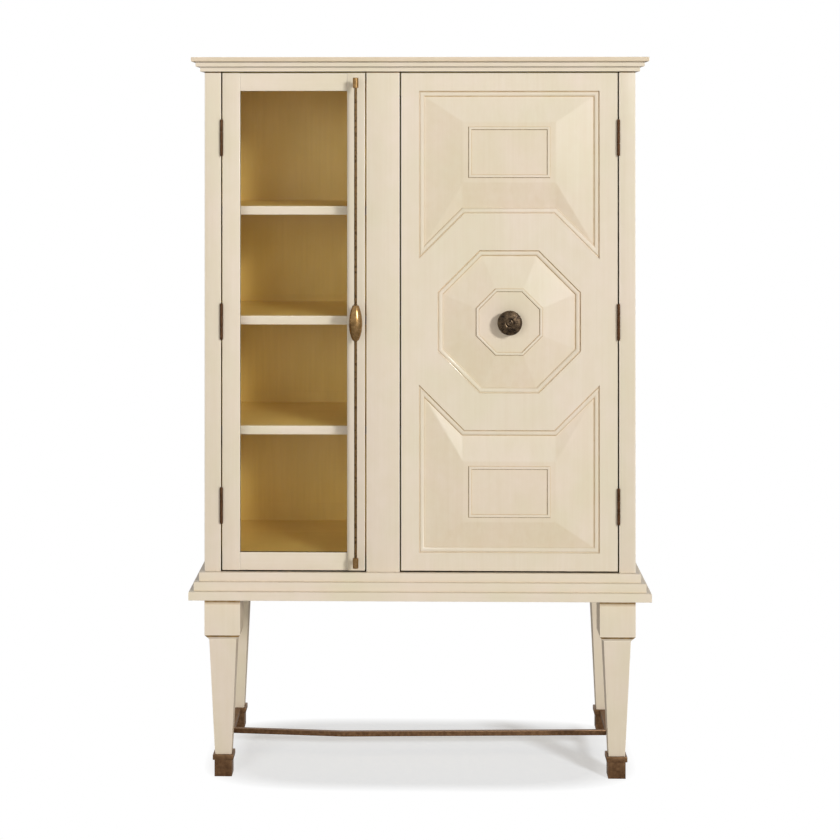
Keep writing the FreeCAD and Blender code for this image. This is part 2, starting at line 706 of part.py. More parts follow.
def side_stretcher(label, x):
    """Square bar between the collars of a front and a rear ferrule."""
    piece = body(label, x, "front_leg_y + collar_width / 2", "stretcher_z + stretcher_thickness / 2")
    flat = outline(sketch(piece, "XZ_Plane"), square("stretcher_thickness"))
    pad(piece, flat, "rear_leg_y - front_leg_y - collar_width", True)
    return node(piece)


def cross_stretcher():
    """Square bar between the side bars, bent forward a little left of the middle."""
    piece = body("cross_stretcher", "0", "stretcher_mid_y", "stretcher_z")
    end = "(leg_x - stretcher_thickness / 2)"
    half = "stretcher_thickness / 2"
    plan = [
        ("-" + end, "-" + half),
        ("-stretcher_bend_left", "-stretcher_bend_forward - " + half),
        (end, "-" + half),
        (end, half),
        ("-stretcher_bend_left", "-stretcher_bend_forward + " + half),
        ("-" + end, half),
    ]
    pad(piece, outline(sketch(piece, "XY_Plane"), plan), "stretcher_thickness")
    rounded(piece, "stretcher_bend_radius", lambda edge: edge.ZLength > NEAR
            and max(-edge.XMin, edge.XMax) < size("stretcher_bend_left") + NEAR)
    return node(piece)


def stand():
    """Legs with their ferrules, and the stretcher between them."""
    for row, x, y in (("front", "leg_x", "front_leg_y"), ("rear", "rear_leg_x", "rear_leg_y")):
        for side, sign in (("left", "-"), ("right", "")):
            leg("%s_%s_leg" % (row, side), sign + x, y)
            ferrule("%s_%s_ferrule" % (row, side), sign + x, y)
    side_stretcher("left_side_stretcher", "-leg_x")
    side_stretcher("right_side_stretcher", "leg_x")
    cross_stretcher()


# Glazed door

def door_stile(label, x, side):
    """Upright of the glazed door, rebated for the pane on the side that faces the opening."""
    piece = body(label, x, "front_y", "door_base")
    lip = "front_stock - glass_rebate_depth"
    section = [
        ("0", "0"),
        ("%d * door_frame_width" % side, "0"),
        ("%d * door_frame_width" % side, lip),
        ("%d * (door_frame_width - glass_rebate_width)" % side, lip),
        ("%d * (door_frame_width - glass_rebate_width)" % side, "front_stock"),
        ("0", "front_stock"),
    ]
    pad(piece, outline(sketch(piece, "XY_Plane"), section), "door_height")
    bevelled(piece, "edge_bevel", upright_front_edge)
    return node(piece)


def door_rail(label, z, low, high):
    """Rail of the glazed door, coped over the rebates of the stiles. The rebate leaves low to high at the back."""
    piece = body(label, "left_door_x + door_frame_width", "front_y", z)
    lip = "front_stock - glass_rebate_depth"
    pad(piece, outline(sketch(piece, "XZ_Plane"), box("0", "0", "opening_width", "door_frame_width")), lip, True)
    bevelled(piece, "edge_bevel", level_front_edge)
    cope = box("-glass_rebate_width", low, "opening_width + glass_rebate_width", high)
    pad(piece, outline(sketch(piece, "XZ_Plane", "-(%s)" % lip), cope), "glass_rebate_depth", True)
    return node(piece)


def glass_pane():
    """Clear pane in the rebate of the glazed door."""
    piece = body("glass_pane", "pane_room_x + glass_fit", "pane_y", "pane_room_z + glass_fit")
    face = box("0", "0", "pane_room_width - 2 * glass_fit", "pane_room_height - 2 * glass_fit")
    pad(piece, outline(sketch(piece, "XZ_Plane"), face), "glass_thickness", True)
    return node(piece)


def glazing_beads():
    """Four strips that hold the pane from behind."""
    members = []
    for side, x in ((1, "pane_room_x"), (-1, "pane_room_x + pane_room_width")):
        piece = body("upright_glazing_%d" % (side + 2), x, "glazing_y", "pane_room_z")
        section = [
            ("0", "0"),
            ("%d * glazing_width" % side, "0"),
            ("%d * glazing_width" % side, "glazing_depth - glazing_slope"),
            ("%d * (glazing_width - glazing_slope)" % side, "glazing_depth"),
            ("0", "glazing_depth"),
        ]
        pad(piece, outline(sketch(piece, "XY_Plane"), section), "pane_room_height")
        members.append(piece)
    for side, z in ((1, "pane_room_z"), (-1, "pane_room_z + pane_room_height")):
        piece = body("level_glazing_%d" % (side + 2), "pane_room_x + glazing_width", "glazing_y", z)
        section = [
            ("0", "0"),
            ("0", "%d * glazing_width" % side),
            ("glazing_depth - glazing_slope", "%d * glazing_width" % side),
            ("glazing_depth", "%d * (glazing_width - glazing_slope)" % side),
            ("glazing_depth", "0"),
        ]
        pad(piece, outline(sketch(piece, "YZ_Plane"), section), "pane_room_width - 2 * glazing_width")
        members.append(piece)
    return group("glazing_beads", members)


def pull_posts():
    """Barrels that hold the rod of the pull off the door."""
    piece = body("pull_post")
    barrel = circle(sketch(piece, "XY_Plane", "-post_height / 2"), "post_radius")
    pad(piece, barrel, "post_height")
    stem = circle(sketch(piece, "XZ_Plane", "-pull_standoff"), "post_stem_radius")
    pad(piece, stem, "pull_standoff")
    flange = circle(sketch(piece, "XZ_Plane", "-pull_standoff"), "post_flange_radius")
    pad(piece, flange, "post_flange_thickness")
    places = [("pull_x", "pull_y", "door_centre_z + %d * pull_span / 2" % end) for end in (1, -1)]
    return group("pull_posts", copies(piece, places))


def pull_rod():
    """Long rod between the two posts, with an egg-shaped grip that is widest a little below the middle."""
    rod = body("rod", "pull_x", "pull_y", "door_centre_z - (pull_span - post_height) / 2")
    pad(rod, circle(sketch(rod, "XY_Plane"), "rod_radius"), "pull_span - post_height")
    grip = body("grip", "pull_x", "pull_y", "door_centre_z")
    bore = "rod_radius + grip_fit"
    profile = [
        (bore, "-grip_length / 2"),
        ("grip_end_radius", "-grip_length / 2"),
        ("grip_width / 2", "-grip_drop", "arc"),
        ("grip_end_radius", "grip_length / 2"),
        (bore, "grip_length / 2"),
    ]
    revolve(grip, outline(sketch(grip, "XZ_Plane"), profile))
    return group("pull_rod", [rod, grip])


def glazed_door():
    """Left door with its pane and its full-height pull."""
    door_stile("left_door_hinge_stile", "left_door_x", 1)
    door_stile("left_door_pull_stile", "left_door_x + left_door_width", -1)
    door_rail("left_door_bottom_rail", "door_base", "0", "door_frame_width - glass_rebate_width")
    door_rail("left_door_top_rail", "door_base + door_height - door_frame_width", "glass_rebate_width",
              "door_frame_width")
    glass_pane()
    glazing_beads()
    pull_posts()
    pull_rod()


# Panelled door

def notched_outline(inset, end):
    """Outline of a long panel, moved in: a rectangle whose inner end is notched by the octagonal band."""
    half = "(panel_half_width - (%s))" % inset
    band = "(octagon_band + %s)" % inset
    far = "%d * (panel_end - (%s))" % (end, inset)
    tip = "%d * (%s * diagonal_share - %s)" % (end, band, half)
    notch = "%d * %s" % (end, band)
    return [
        ("-" + half, far),
        (half, far),
        (half, tip),
        (band + " * octagon_share", notch),
        ("-" + band + " * octagon_share", notch),
        ("-" + half, tip),
    ]


def octagon(reach):
    """Corners of an upright octagon whose flats lie at a distance from the door's centre."""
    flat, corner = "(%s)" % reach, "(%s) * octagon_share" % reach
    return [
        ("-" + corner, flat),
        (corner, flat),
        (flat, corner),
        (flat, "-" + corner),
        (corner, "-" + flat),
        ("-" + corner, "-" + flat),
        ("-" + flat, "-" + corner),
        ("-" + flat, corner),
    ]


def door_slab():
    """Slab of the panelled door with a recess for each panel."""
    piece = body("right_door_slab", "right_door_centre_x", "front_y", "door_centre_z")
    face = box("-right_door_width / 2", "-door_height / 2", "right_door_width / 2", "door_height / 2")
    pad(piece, outline(sketch(piece, "XZ_Plane"), face), "front_stock", True)
    bevelled(piece, "edge_bevel", front_edge)
    recesses = sketch(piece, "XZ_Plane")
    outline(recesses, notched_outline("0", 1))
    outline(recesses, notched_outline("0", -1))
    outline(recesses, octagon("octagon_ring"))
    pocket(piece, recesses, "recess_depth")
    pocket(piece, circle(sketch(piece, "XZ_Plane"), "screw_radius + screw_fit"), "front_stock")
    head = circle(sketch(piece, "XZ_Plane", "-front_stock"), "screw_head_radius + screw_fit")
    pocket(piece, head, "screw_head_height", True)
    return node(piece)


def panel_moulding(label, outer, lip, inner):
    """Moulding that fills the edge of a recess and slopes down to its panel."""
    piece = body(label, "right_door_centre_x", "front_y", "door_centre_z")
    ring = sketch(piece, "XZ_Plane", "-recess_depth")
    outline(ring, outer)
    outline(ring, inner)
    pad(piece, ring, "recess_depth - moulding_step")
    front = outline(sketch(piece, "XZ_Plane", "-moulding_step"), lip)
    low = outline(sketch(piece, "XZ_Plane", "-moulding_drop"), inner)
    carve(piece, front, low)
    return node(piece)


def face_of(points):
    """Flat face through a closed row of points."""
    return Part.Face(Part.makePolygon(points + points[:1]))


def faceted(label, rim, field, facets, bead, end):
    """Panel with flat facets from its rim to a flat field, and a bead on that field."""
    floor, edge, top = size("recess_depth"), size("panel_edge_depth"), size("field_depth")
    back = [Vector(size(x), floor, size(z)) for x, z in rim]
    front = [Vector(size(x), edge, size(z)) for x, z in rim]
    flat = [Vector(size(x), top, size(z)) for x, z in field]
    slopes = [[front[number] for number in low] + [flat[number] for number in high] for low, high in facets]
    walls = [[back[i - 1], back[i], front[i], front[i - 1]] for i in range(len(rim))]
    shape = Part.makeSolid(Part.makeShell([face_of(points) for points in [back, flat] + slopes + walls]))
    if shape.Volume < 0:
        shape.reverse()
    outer, inner = [face_of([Vector(size(x), edge, size(z)) for x, z in corners]) for corners in bead]
    shape = shape.fuse(outer.cut(inner).extrude(Vector(0, top - edge - size("bead_rise"), 0))).removeSplitter()
    if end < 0:
        shape = shape.mirror(Vector(0, 0, 0), Vector(0, 0, 1))
    piece = doc.addObject("Part::Feature", label)
    piece.Label = label
    piece.Shape = shape.Solids[0]
    return place(piece, "right_door_centre_x", "front_y", "door_centre_z")


def raised_panel(label, end):
    """Long panel whose facets rise from its notched rim to a flat rectangular field."""
    field = window("field_width", "field_height")
    facets = [((0, 1), (1, 0)), ((1, 2), (2, 1)), ((2, 3), (2,)), ((3, 4), (3, 2)), ((4, 5), (3,)), ((5, 0), (0, 3))]
    bead = [
        window("bead_frame_width", "bead_frame_height"),
        window("bead_frame_width - 2 * bead_width", "bead_frame_height - 2 * bead_width"),
    ]
    return node(faceted(label, notched_outline("moulding_width", 1), field, facets, bead, end))


def window(width, height):
    """Corners of an upright rectangle round the middle of a long panel's field."""
    half, low, high = "(%s) / 2" % width, "field_offset - (%s) / 2" % height, "field_offset + (%s) / 2" % height
    return [("-" + half, high), (half, high), (half, low), ("-" + half, low)]


def octagon_panel():
    """Central panel whose eight facets rise to a flat octagonal field, bored for the knob screw."""
    facets = [((i - 1, i), (i, i - 1)) for i in range(8)]
    bead = [octagon("octagon_field"), octagon("octagon_field - bead_width")]
    rim = octagon("octagon_ring - moulding_width")
    blank = faceted("octagon_blank", rim, octagon("octagon_field"), facets, bead, 1)
    bore = doc.addObject("Part::Cylinder", "octagon_bore")
    bore.setExpression("Radius", formula("screw_radius + screw_fit"))
    bore.setExpression("Height", formula("recess_depth - field_depth"))
    bore.Placement.Rotation = FreeCAD.Rotation(Vector(1, 0, 0), -90)
    place(bore, "right_door_centre_x", "front_y + field_depth", "door_centre_z")
    piece = doc.addObject("Part::Cut", "octagon_panel")
    piece.Base = blank
    piece.Tool = bore
    return node(piece)


def knob():
    """Round knob with a base, a neck and a disc whose sunk face has a boss."""
    piece = body("door_knob", "right_door_centre_x", "front_y + field_depth", "door_centre_z")
    profile = [
        ("0", "0"),
        ("knob_base_radius", "0"),
        ("knob_base_radius", "-knob_base_thickness"),
        ("knob_neck_radius", "-knob_base_thickness"),
        ("knob_neck_radius", "-knob_rim_reach"),
        ("knob_width / 2", "-knob_rim_reach"),
        ("knob_width / 2", "-knob_face_reach"),
        ("knob_face_radius", "-knob_face_reach"),
        ("knob_face_radius", "-knob_face_reach + knob_face_drop"),
        ("knob_boss_radius", "-knob_face_reach + knob_face_drop"),
        ("knob_boss_radius", "-knob_projection"),
        ("0", "-knob_projection"),
    ]
    revolve(piece, outline(sketch(piece, "XY_Plane"), profile))
    bore = circle(sketch(piece, "XZ_Plane"), "screw_radius")
    pocket(piece, bore, "screw_grip", True)
    return node(piece)


def knob_screw():
    """Screw from the back of the slab into the knob."""
    piece = body("knob_screw", "right_door_centre_x", "front_y", "door_centre_z")
    tip = "-(screw_grip - field_depth)"
    back = "front_stock"
    profile = [
        ("0", tip),
        ("screw_radius", tip),
        ("screw_radius", back + " - screw_head_height"),
        ("screw_head_radius", back + " - screw_head_height"),
        ("screw_head_radius", back),
        ("0", back),
    ]
    revolve(piece, outline(sketch(piece, "XY_Plane"), profile))
    return node(piece)


def panelled_door():
    """Right door: slab, mouldings, raised panels and knob."""
    door_slab()
    for name, end in (("upper", 1), ("lower", -1)):
        panel_moulding("%s_panel_moulding" % name, notched_outline("0", end), notched_outline("moulding_lip", end),
                       notched_outline("moulding_width", end))
        raised_panel("%s_panel" % name, end)
    panel_moulding("octagon_moulding", octagon("octagon_ring"), octagon("octagon_ring - moulding_lip"),
                   octagon("octagon_ring - moulding_width"))
    octagon_panel()
    knob()
    knob_screw()


# Hinges and catches

def hinge_leaf(label, side, spans):
    """Leaf on one side of the pin axis: a plate in the gap, with webs and knuckles over the given heights."""
    piece = body(label)
    outer, inner = "%d * door_gap / 2" % side, "%d * (door_gap / 2 - leaf_thickness)" % side
    plate = box(outer, "hinge_offset", inner, "hinge_offset + leaf_width")
    height = "hinge_height - 2 * hinge_pin_tip"
    pad(piece, outline(sketch(piece, "XY_Plane", "hinge_pin_tip"), plate), height)
    for start, length in spans:
        web = box(outer, "0", inner, "hinge_offset")
        pad(piece, outline(sketch(piece, "XY_Plane", start), web), length)
        pad(piece, circle(sketch(piece, "XY_Plane", start), "hinge_radius"), length)
    bore = circle(sketch(piece, "XY_Plane", "hinge_height"), "hinge_pin_radius + hinge_pin_fit")
    pocket(piece, bore, "hinge_height")
    return piece


def hinge_places(x):
    """Places of the three hinges of a door, from the lowest point of each."""
    return [(x, "hinge_y", "hinge_base_z + %d * hinge_spacing" % row) for row in (0, 1, -1)]


def hinges():
    """Three hinges on each door: the case leaf has the outer knuckles, the door leaf the middle one."""
    outer = [
        ("hinge_pin_tip", "knuckle_height - knuckle_gap"),
        ("hinge_pin_tip + 2 * knuckle_height + knuckle_gap", "knuckle_height - knuckle_gap"),
    ]
    middle = [("hinge_pin_tip + knuckle_height", "knuckle_height")]
    left = copies(hinge_leaf("left_case_leaf", -1, outer), hinge_places("left_hinge_x"))
    right = copies(hinge_leaf("right_case_leaf", 1, outer), hinge_places("right_hinge_x"))
    group("case_hinge_leaves", left + right)
    group("left_door_hinge_leaves", copies(hinge_leaf("left_door_leaf", 1, middle), hinge_places("left_hinge_x")))
    group("right_door_hinge_leaves", copies(hinge_leaf("right_door_leaf", -1, middle), hinge_places("right_hinge_x")))
    pin = doc.addObject("Part::Cylinder", "hinge_pin")
    pin.setExpression("Radius", formula("hinge_pin_radius"))
    pin.setExpression("Height", formula("hinge_height"))
    group("hinge_pins", copies(pin, hinge_places("left_hinge_x") + hinge_places("right_hinge_x")))


def catches():
    """Magnetic catches under the case top, and their strike plates on the backs of the doors."""
    catch = body("magnetic_catch")
    face = box("-catch_width / 2", "-catch_height", "catch_width / 2", "0")
    pad(catch, outline(sketch(catch, "XZ_Plane"), face), "catch_depth", True)
    places = [(x, "catch_y", "bay_head") for x in ("left_catch_x", "right_catch_x")]
    group("magnetic_catches", copies(catch, places))
    for label, x in (("left_strike_plate", "left_catch_x"), ("right_strike_plate", "right_catch_x")):
        piece = body(label, x, "door_back_y", "bay_head - catch_height / 2")
        face = box("-strike_width / 2", "-strike_height / 2", "strike_width / 2", "strike_height / 2")
        pad(piece, outline(sketch(piece, "XZ_Plane"), face), "strike_thickness", True)
        node(piece)


def check_and_export():
    """Stop on any failed object, a cut that removed nothing or a bad shape, then write one file per sub-part."""
    doc.recompute()
    for item in doc.Objects:
        if "Invalid" in item.State or "Error" in item.State:
            raise RuntimeError("%s failed: %s" % (item.Name, item.State))
        if item.isDerivedFrom("PartDesign::Pocket") or item.TypeId == "PartDesign::SubtractiveLoft":
            if item.Shape.Volume >= item.BaseFeature.Shape.Volume:
                raise RuntimeError("%s removed nothing" % item.Name)
    for piece in NODES:
        if piece.Shape.isNull() or not piece.Shape.isValid() or not piece.Shape.Solids:
            raise RuntimeError("%s has no valid solid" % piece.Label)
        piece.Shape.exportStep("parts/%s.step" % piece.Label)
    print("sub-parts", len(NODES), "solids", sum(len(piece.Shape.Solids) for piece in NODES))


os.makedirs("parts", exist_ok=True)
sheet = fill_sheets()
case()
stand()
glazed_door()
panelled_door()
hinges()
catches()
check_and_export()
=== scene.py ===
import json
import math

import bmesh
import bpy
from mathutils import Matrix, Vector

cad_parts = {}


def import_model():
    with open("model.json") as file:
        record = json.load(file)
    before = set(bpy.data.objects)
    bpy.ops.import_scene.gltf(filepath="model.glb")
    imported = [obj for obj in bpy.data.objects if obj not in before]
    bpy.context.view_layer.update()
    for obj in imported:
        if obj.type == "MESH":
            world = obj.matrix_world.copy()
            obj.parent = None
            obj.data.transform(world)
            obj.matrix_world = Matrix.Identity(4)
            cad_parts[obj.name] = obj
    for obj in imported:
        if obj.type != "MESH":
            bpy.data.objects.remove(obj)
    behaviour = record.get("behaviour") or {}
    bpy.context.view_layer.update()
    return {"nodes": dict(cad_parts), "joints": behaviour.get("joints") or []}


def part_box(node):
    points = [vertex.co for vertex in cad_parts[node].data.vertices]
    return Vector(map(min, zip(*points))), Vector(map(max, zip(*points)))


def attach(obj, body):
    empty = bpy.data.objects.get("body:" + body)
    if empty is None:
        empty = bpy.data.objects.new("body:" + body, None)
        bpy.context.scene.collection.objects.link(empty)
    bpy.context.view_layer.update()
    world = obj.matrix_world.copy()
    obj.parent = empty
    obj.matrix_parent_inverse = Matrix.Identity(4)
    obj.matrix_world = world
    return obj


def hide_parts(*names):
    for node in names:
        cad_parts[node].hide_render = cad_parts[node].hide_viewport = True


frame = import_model()

# Bar cabinet in cream glazed paint, with a gold painted inside and bronze fittings.
# Sizes of the cabinet are in millimetres and become metres through MM. Floor, lamps and camera are in metres.
# X runs to the right, Y to the back, Z up.
MM = 0.001

# Size in millimetres of the slow noise that keeps glaze and rubbed edges uneven
UNEVEN = 17
# Angle in degrees under which the edge between two faces of a board is shaded smooth
BOARD_SMOOTH = 22.0
# Mark of glaze on both sides of the cornice and the plinth, a painted shade on their side faces
SIDE_SHADE = 0.12

# Levels and places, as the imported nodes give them
CASE_LEFT, CASE_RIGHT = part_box("left_side")[0].x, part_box("right_side")[1].x
CASE_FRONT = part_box("left_stile")[0].y
CASE_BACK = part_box("back_panel")[1].y
SLAB_LOW, SLAB_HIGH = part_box("right_door_slab")
DOOR_CENTRE = (SLAB_LOW + SLAB_HIGH) / 2


# Colours

def srgb(code):
    """Turn an sRGB hex colour into linear values."""
    values = [int(code[i:i + 2], 16) / 255 for i in (1, 3, 5)]
    return tuple(v / 12.92 if v <= 0.04045 else ((v + 0.055) / 1.055) ** 2.4 for v in values) + (1.0,)


def add(tree, kind, inputs=None, **settings):
    """Add a node to a tree with its settings, its input values and the links into it."""
    made = tree.nodes.new(kind)
    for name, value in settings.items():
        setattr(made, name, value)
    for key, value in (inputs or {}).items():
        if isinstance(value, bpy.types.NodeSocket):
            tree.links.new(value, made.inputs[key])
        else:
            made.inputs[key].default_value = value
    return made


def new_material(name):
    """Empty material with a Principled shader that reaches its output."""
    made = bpy.data.materials.new(name)
    made.use_nodes = True
    tree = made.node_tree
    tree.nodes.clear()
    shader = add(tree, "ShaderNodeBsdfPrincipled")
    add(tree, "ShaderNodeOutputMaterial", {"Surface": shader.outputs[0]})
    return made, tree, shader


def patterned(tree, colour, layers):
    """Lay noise over a colour, and return the new colour and the noises.

    A layer gives its size in mm along X, Y and Z, its detail, the range that shows, its greatest share and
    its colour.
    """
    place = add(tree, "ShaderNodeTexCoord").outputs["Object"]
    noises = []
    for sizes, detail, low, high, share, tint in layers:
        moved = add(tree, "ShaderNodeMapping",
                    {"Vector": place, "Scale": [1 / (size * MM) for size in sizes]}).outputs[0]
        noise = add(tree, "ShaderNodeTexNoise", {"Vector": moved, "Scale": 1.0, "Detail": detail,
                                                 "Roughness": 0.55}).outputs["Fac"]
        amount = add(tree, "ShaderNodeMapRange", {"Value": noise, "From Min": low, "From Max": high,
                                                  "To Max": share}).outputs["Result"]
        colour = add(tree, "ShaderNodeMix", {"Factor": amount, "A": colour, "B": srgb(tint)},
                     data_type="RGBA").outputs["Result"]
        noises.append(noise)
    return colour, noises


def worn(tree, colour, marks):
    """Lay face marks over a colour. Slow noise keeps every mark uneven.

    A mark gives its attribute, the range that shows, its share and its colour.
    """
    place = add(tree, "ShaderNodeTexCoord").outputs["Object"]
    moved = add(tree, "ShaderNodeMapping", {"Vector": place, "Scale": [1 / (UNEVEN * MM)] * 3})
    noise = add(tree, "ShaderNodeTexNoise", {"Vector": moved.outputs[0], "Scale": 1.0}).outputs["Fac"]
    uneven = add(tree, "ShaderNodeMapRange", {"Value": noise, "From Min": 0.3, "From Max": 0.7,
                                              "To Min": 0.75, "To Max": 1.15}).outputs["Result"]
    for name, low, high, share, tint in marks:
        found = add(tree, "ShaderNodeAttribute", attribute_name=name).outputs["Fac"]
        strength = add(tree, "ShaderNodeMath", {0: found, 1: uneven}, operation="MULTIPLY").outputs[0]
        amount = add(tree, "ShaderNodeMapRange", {"Value": strength, "From Min": low, "From Max": high,
                                                  "To Max": share}).outputs["Result"]
        colour = add(tree, "ShaderNodeMix", {"Factor": amount, "A": colour, "B": srgb(tint)},
                     data_type="RGBA").outputs["Result"]
    return colour


def surface(name, base, layers, marks, fine, rough, relief, settings):
    """Material with a patterned and worn colour.

    The noise of one layer, fine, also drives the roughness, from its first to its second value, and a relief
    of a given strength and depth in mm.
    """
    made, tree, shader = new_material(name)
    colour, noises = patterned(tree, srgb(base), layers)
    tree.links.new(worn(tree, colour, marks), shader.inputs["Base Color"])
    spread = add(tree, "ShaderNodeMapRange", {"Value": noises[fine], "From Min": 0.3, "From Max": 0.7,
                                              "To Min": rough[0], "To Max": rough[1]})
    tree.links.new(spread.outputs["Result"], shader.inputs["Roughness"])
    bump = add(tree, "ShaderNodeBump", {"Height": noises[fine], "Strength": relief[0],
                                        "Distance": relief[1] * MM})
    tree.links.new(bump.outputs[0], shader.inputs["Normal"])
    for key, value in settings.items():
        shader.inputs[key].default_value = value
    return made


def cream_paint(direction, sizes):
    """Cream lacquer brushed on wood, with an umber glaze wiped off the faces and left in the corners.

    Thin glaze shows as ochre, thick glaze as dark umber lines beside each moulding. The same glaze marks
    also carry painted shade: under the cornice, the top board and the plinth, on the inner sides of the legs,
    on the sides of the cornice and the plinth, and on the sides of mouldings, beads and facets that face away
    from the light. The brush leaves faint streaks 4 to 11 mm apart, drawn a little coarser than real ones,
    and slow changes between a pink and a green cream keep wide faces from looking flat. A satin top coat
    gives the tilted facets a soft shine.
    """
    layers = [((143, 143, 200), 2.0, 0.35, 0.65, 1.0, "#dfd5bd"),
              ((33, 33, 42), 3.0, 0.35, 0.7, 0.25, "#dccdb2"),
              (sizes, 4.0, 0.3, 0.75, 0.1, "#cdbb98"),
              ([size * 2.9 for size in sizes], 2.0, 0.35, 0.7, 0.12, "#d5c5a6")]
    # The glaze marks hold both real glaze and painted shade
    marks = [("rubbed", 0.0, 1.0, 0.8, "#f6ecd9"), ("glaze_and_shade", 0.0, 0.5, 1.0, "#c0964f"),
             ("glaze_and_shade", 0.3, 1.0, 1.0, "#2e2010")]
    return surface("cream_paint_" + direction, "#e5d7c6", layers, marks, 2, (0.54, 0.62), (0.15, 0.15),
                   {"IOR": 1.45, "Coat Weight": 0.5, "Coat Roughness": 0.16})


def patinated(name, dark, light, pores, smooth, rough, metallic=1.0):
    """Cast metal with a rubbed patina: dark in the pores, paler on edges where hands and cloths pass."""
    layers = [((8.3, 8.3, 8.3), 5.0, 0.35, 0.7, pores, light)]
    marks = [("rubbed", 0.0, 1.0, 0.35, light)]
    return surface(name, dark, layers, marks, 0, (smooth, rough), (0.2 * pores, 0.4), {"Metallic": metallic})


def float_glass():
    """Float glass: almost nothing to see straight on, a faint reflection at a slant."""
    made, tree, shader = new_material("float_glass")
    colour, noises = patterned(tree, srgb("#f4f8f5"), [((71, 71, 250), 3.0, 0.35, 0.75, 0.5, "#ecf3ee")])
    tree.links.new(colour, shader.inputs["Base Color"])
    smear = add(tree, "ShaderNodeMapRange", {"Value": noises[0], "From Min": 0.35, "From Max": 0.75,
                                             "To Max": 0.03})
    tree.links.new(smear.outputs["Result"], shader.inputs["Roughness"])
    for key, value in (("Transmission Weight", 1.0), ("IOR", 1.5), ("Alpha", 0.12)):
        shader.inputs[key].default_value = value
    return made


UPRIGHT = cream_paint("upright", (3.8, 3.8, 200))
LEVEL = cream_paint("level", (200, 3.8, 3.8))
DEEP = cream_paint("deep", (3.8, 200, 3.8))
# Painted shade: a dull dark brown on the faces inside the door gaps, standing for the shade there
GAP_SHADE = surface("painted_gap_shade", "#24160c", [((6, 6, 30), 3.0, 0.35, 0.7, 1.0, "#38261a")], [], 0,
                (0.85, 0.95), (0.2, 0.2), {"Specular IOR Level": 0.1})
# Gold bronze paint on the inside, brushed upright: darker streaks and a soft metallic glow
GOLD = surface("gold_paint", "#f3d67c", [((110, 110, 165), 3.0, 0.35, 0.65, 1.0, "#ecce6f"),
                                         ((5.5, 5.5, 165), 4.0, 0.3, 0.7, 0.3, "#d8b86a")],
               [("rubbed", 0.0, 1.0, 0.5, "#f5dd9c")], 1, (0.4, 0.5), (0.2, 0.3),
               {"Metallic": 0.15, "Coat Weight": 0.4, "Coat Roughness": 0.3})
BRONZE = patinated("patinated_bronze", "#694e38", "#8d6e50", 0.8, 0.38, 0.52)
ROD_BRASS = patinated("darkened_brass", "#5c4422", "#7a5c34", 0.6, 0.24, 0.34, 0.6)
HINGE_BRONZE = patinated("dark_hinge_bronze", "#46301f", "#644732", 1.0, 0.45, 0.6)
BLACK_BRONZE = patinated("blackened_bronze", "#2e2620", "#75624c", 0.8, 0.25, 0.4)
BRASS = patinated("antique_brass", "#8a6c44", "#a5845a", 0.7, 0.2, 0.3)
GLASS = float_glass()
PLASTIC = surface("moulded_plastic", "#54402c", [((1.1, 1.1, 1.1), 2.0, 0.3, 0.7, 1.0, "#5d4832")], [], 0,
                  (0.5, 0.6), (0.2, 0.2), {})
STEEL = surface("plated_steel", "#a8a6a0", [((50, 1.7, 1.7), 3.0, 0.3, 0.7, 1.0, "#c2c0ba")], [], 0,
                (0.3, 0.45), (0.1, 0.1), {"Metallic": 1.0})


# Meshes

def layer(mesh, name):
    """Float layer on the faces of a mesh in the making."""
    return mesh.faces.layers.float.get(name) or mesh.faces.layers.float.new(name)


def finished(mesh, name, body, materials, nodes, smooth=35.0):
    """Turn a bmesh into a piece that rides on a body and stands for the named CAD nodes."""
    bmesh.ops.recalc_face_normals(mesh, faces=mesh.faces)
    data = bpy.data.meshes.new(name)
    mesh.to_mesh(data)
    mesh.free()
    return placed(data, name, body, materials, nodes, smooth)


def placed(data, name, body, materials, nodes, smooth):
    """Link a mesh as a piece, with its materials, its body and the nodes that it stands for."""
    piece = bpy.data.objects.new(name, data)
    bpy.context.scene.collection.objects.link(piece)
    for material in materials:
        data.materials.append(material)
    data.shade_smooth()
    data.set_sharp_from_angle(angle=math.radians(smooth))
    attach(piece, body)
    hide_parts(*nodes)
    return piece


def solid_of(node, halved=False):
    """Copy of a CAD node's mesh with its triangles merged into flat faces.

    A halved copy keeps a cut down its middle, so that holes and recesses there leave no face with a hole.
    """
    mesh = bmesh.new()
    mesh.from_mesh(frame["nodes"][node].data)
    bmesh.ops.remove_doubles(mesh, verts=mesh.verts, dist=0.005 * MM)
    if halved:
        low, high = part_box(node)
        cut = bmesh.ops.bisect_plane(mesh, geom=mesh.verts[:] + mesh.edges[:] + mesh.faces[:],
                                     plane_co=((low.x + high.x) / 2, 0.0, 0.0), plane_no=(1.0, 0.0, 0.0))
        for item in cut["geom_cut"]:
            if isinstance(item, bmesh.types.BMEdge):
                item.seam = True
    bmesh.ops.dissolve_limit(mesh, angle_limit=math.radians(1), verts=mesh.verts, edges=mesh.edges,
                             delimit={"SEAM"})
    return mesh


def eased(mesh, width, where=None):
    """Round the sharp edges of a solid, or those that a test picks, and mark the rounded faces as rubbed."""
    rubbed = layer(mesh, "rubbed")
    sharp = [edge for edge in mesh.edges
             if len(edge.link_faces) == 2 and edge.calc_face_angle() > math.radians(25)
             and (where is None or where(edge))]
    made = bmesh.ops.bevel(mesh, geom=sharp, offset=width * MM, segments=2, profile=0.5,
                           affect="EDGES", clamp_overlap=True, harden_normals=False)
    for face in made["faces"]:
        face[rubbed] = 1.0
    return mesh


def on_rim(edge, low, high, axes=(0, 2)):
    """Whether an edge runs along the outside of a box, in X or Z."""
    return any(all(abs(vert.co[axis] - corner[axis]) < 0.1 * MM for vert in edge.verts)
               for corner in (low, high) for axis in axes)


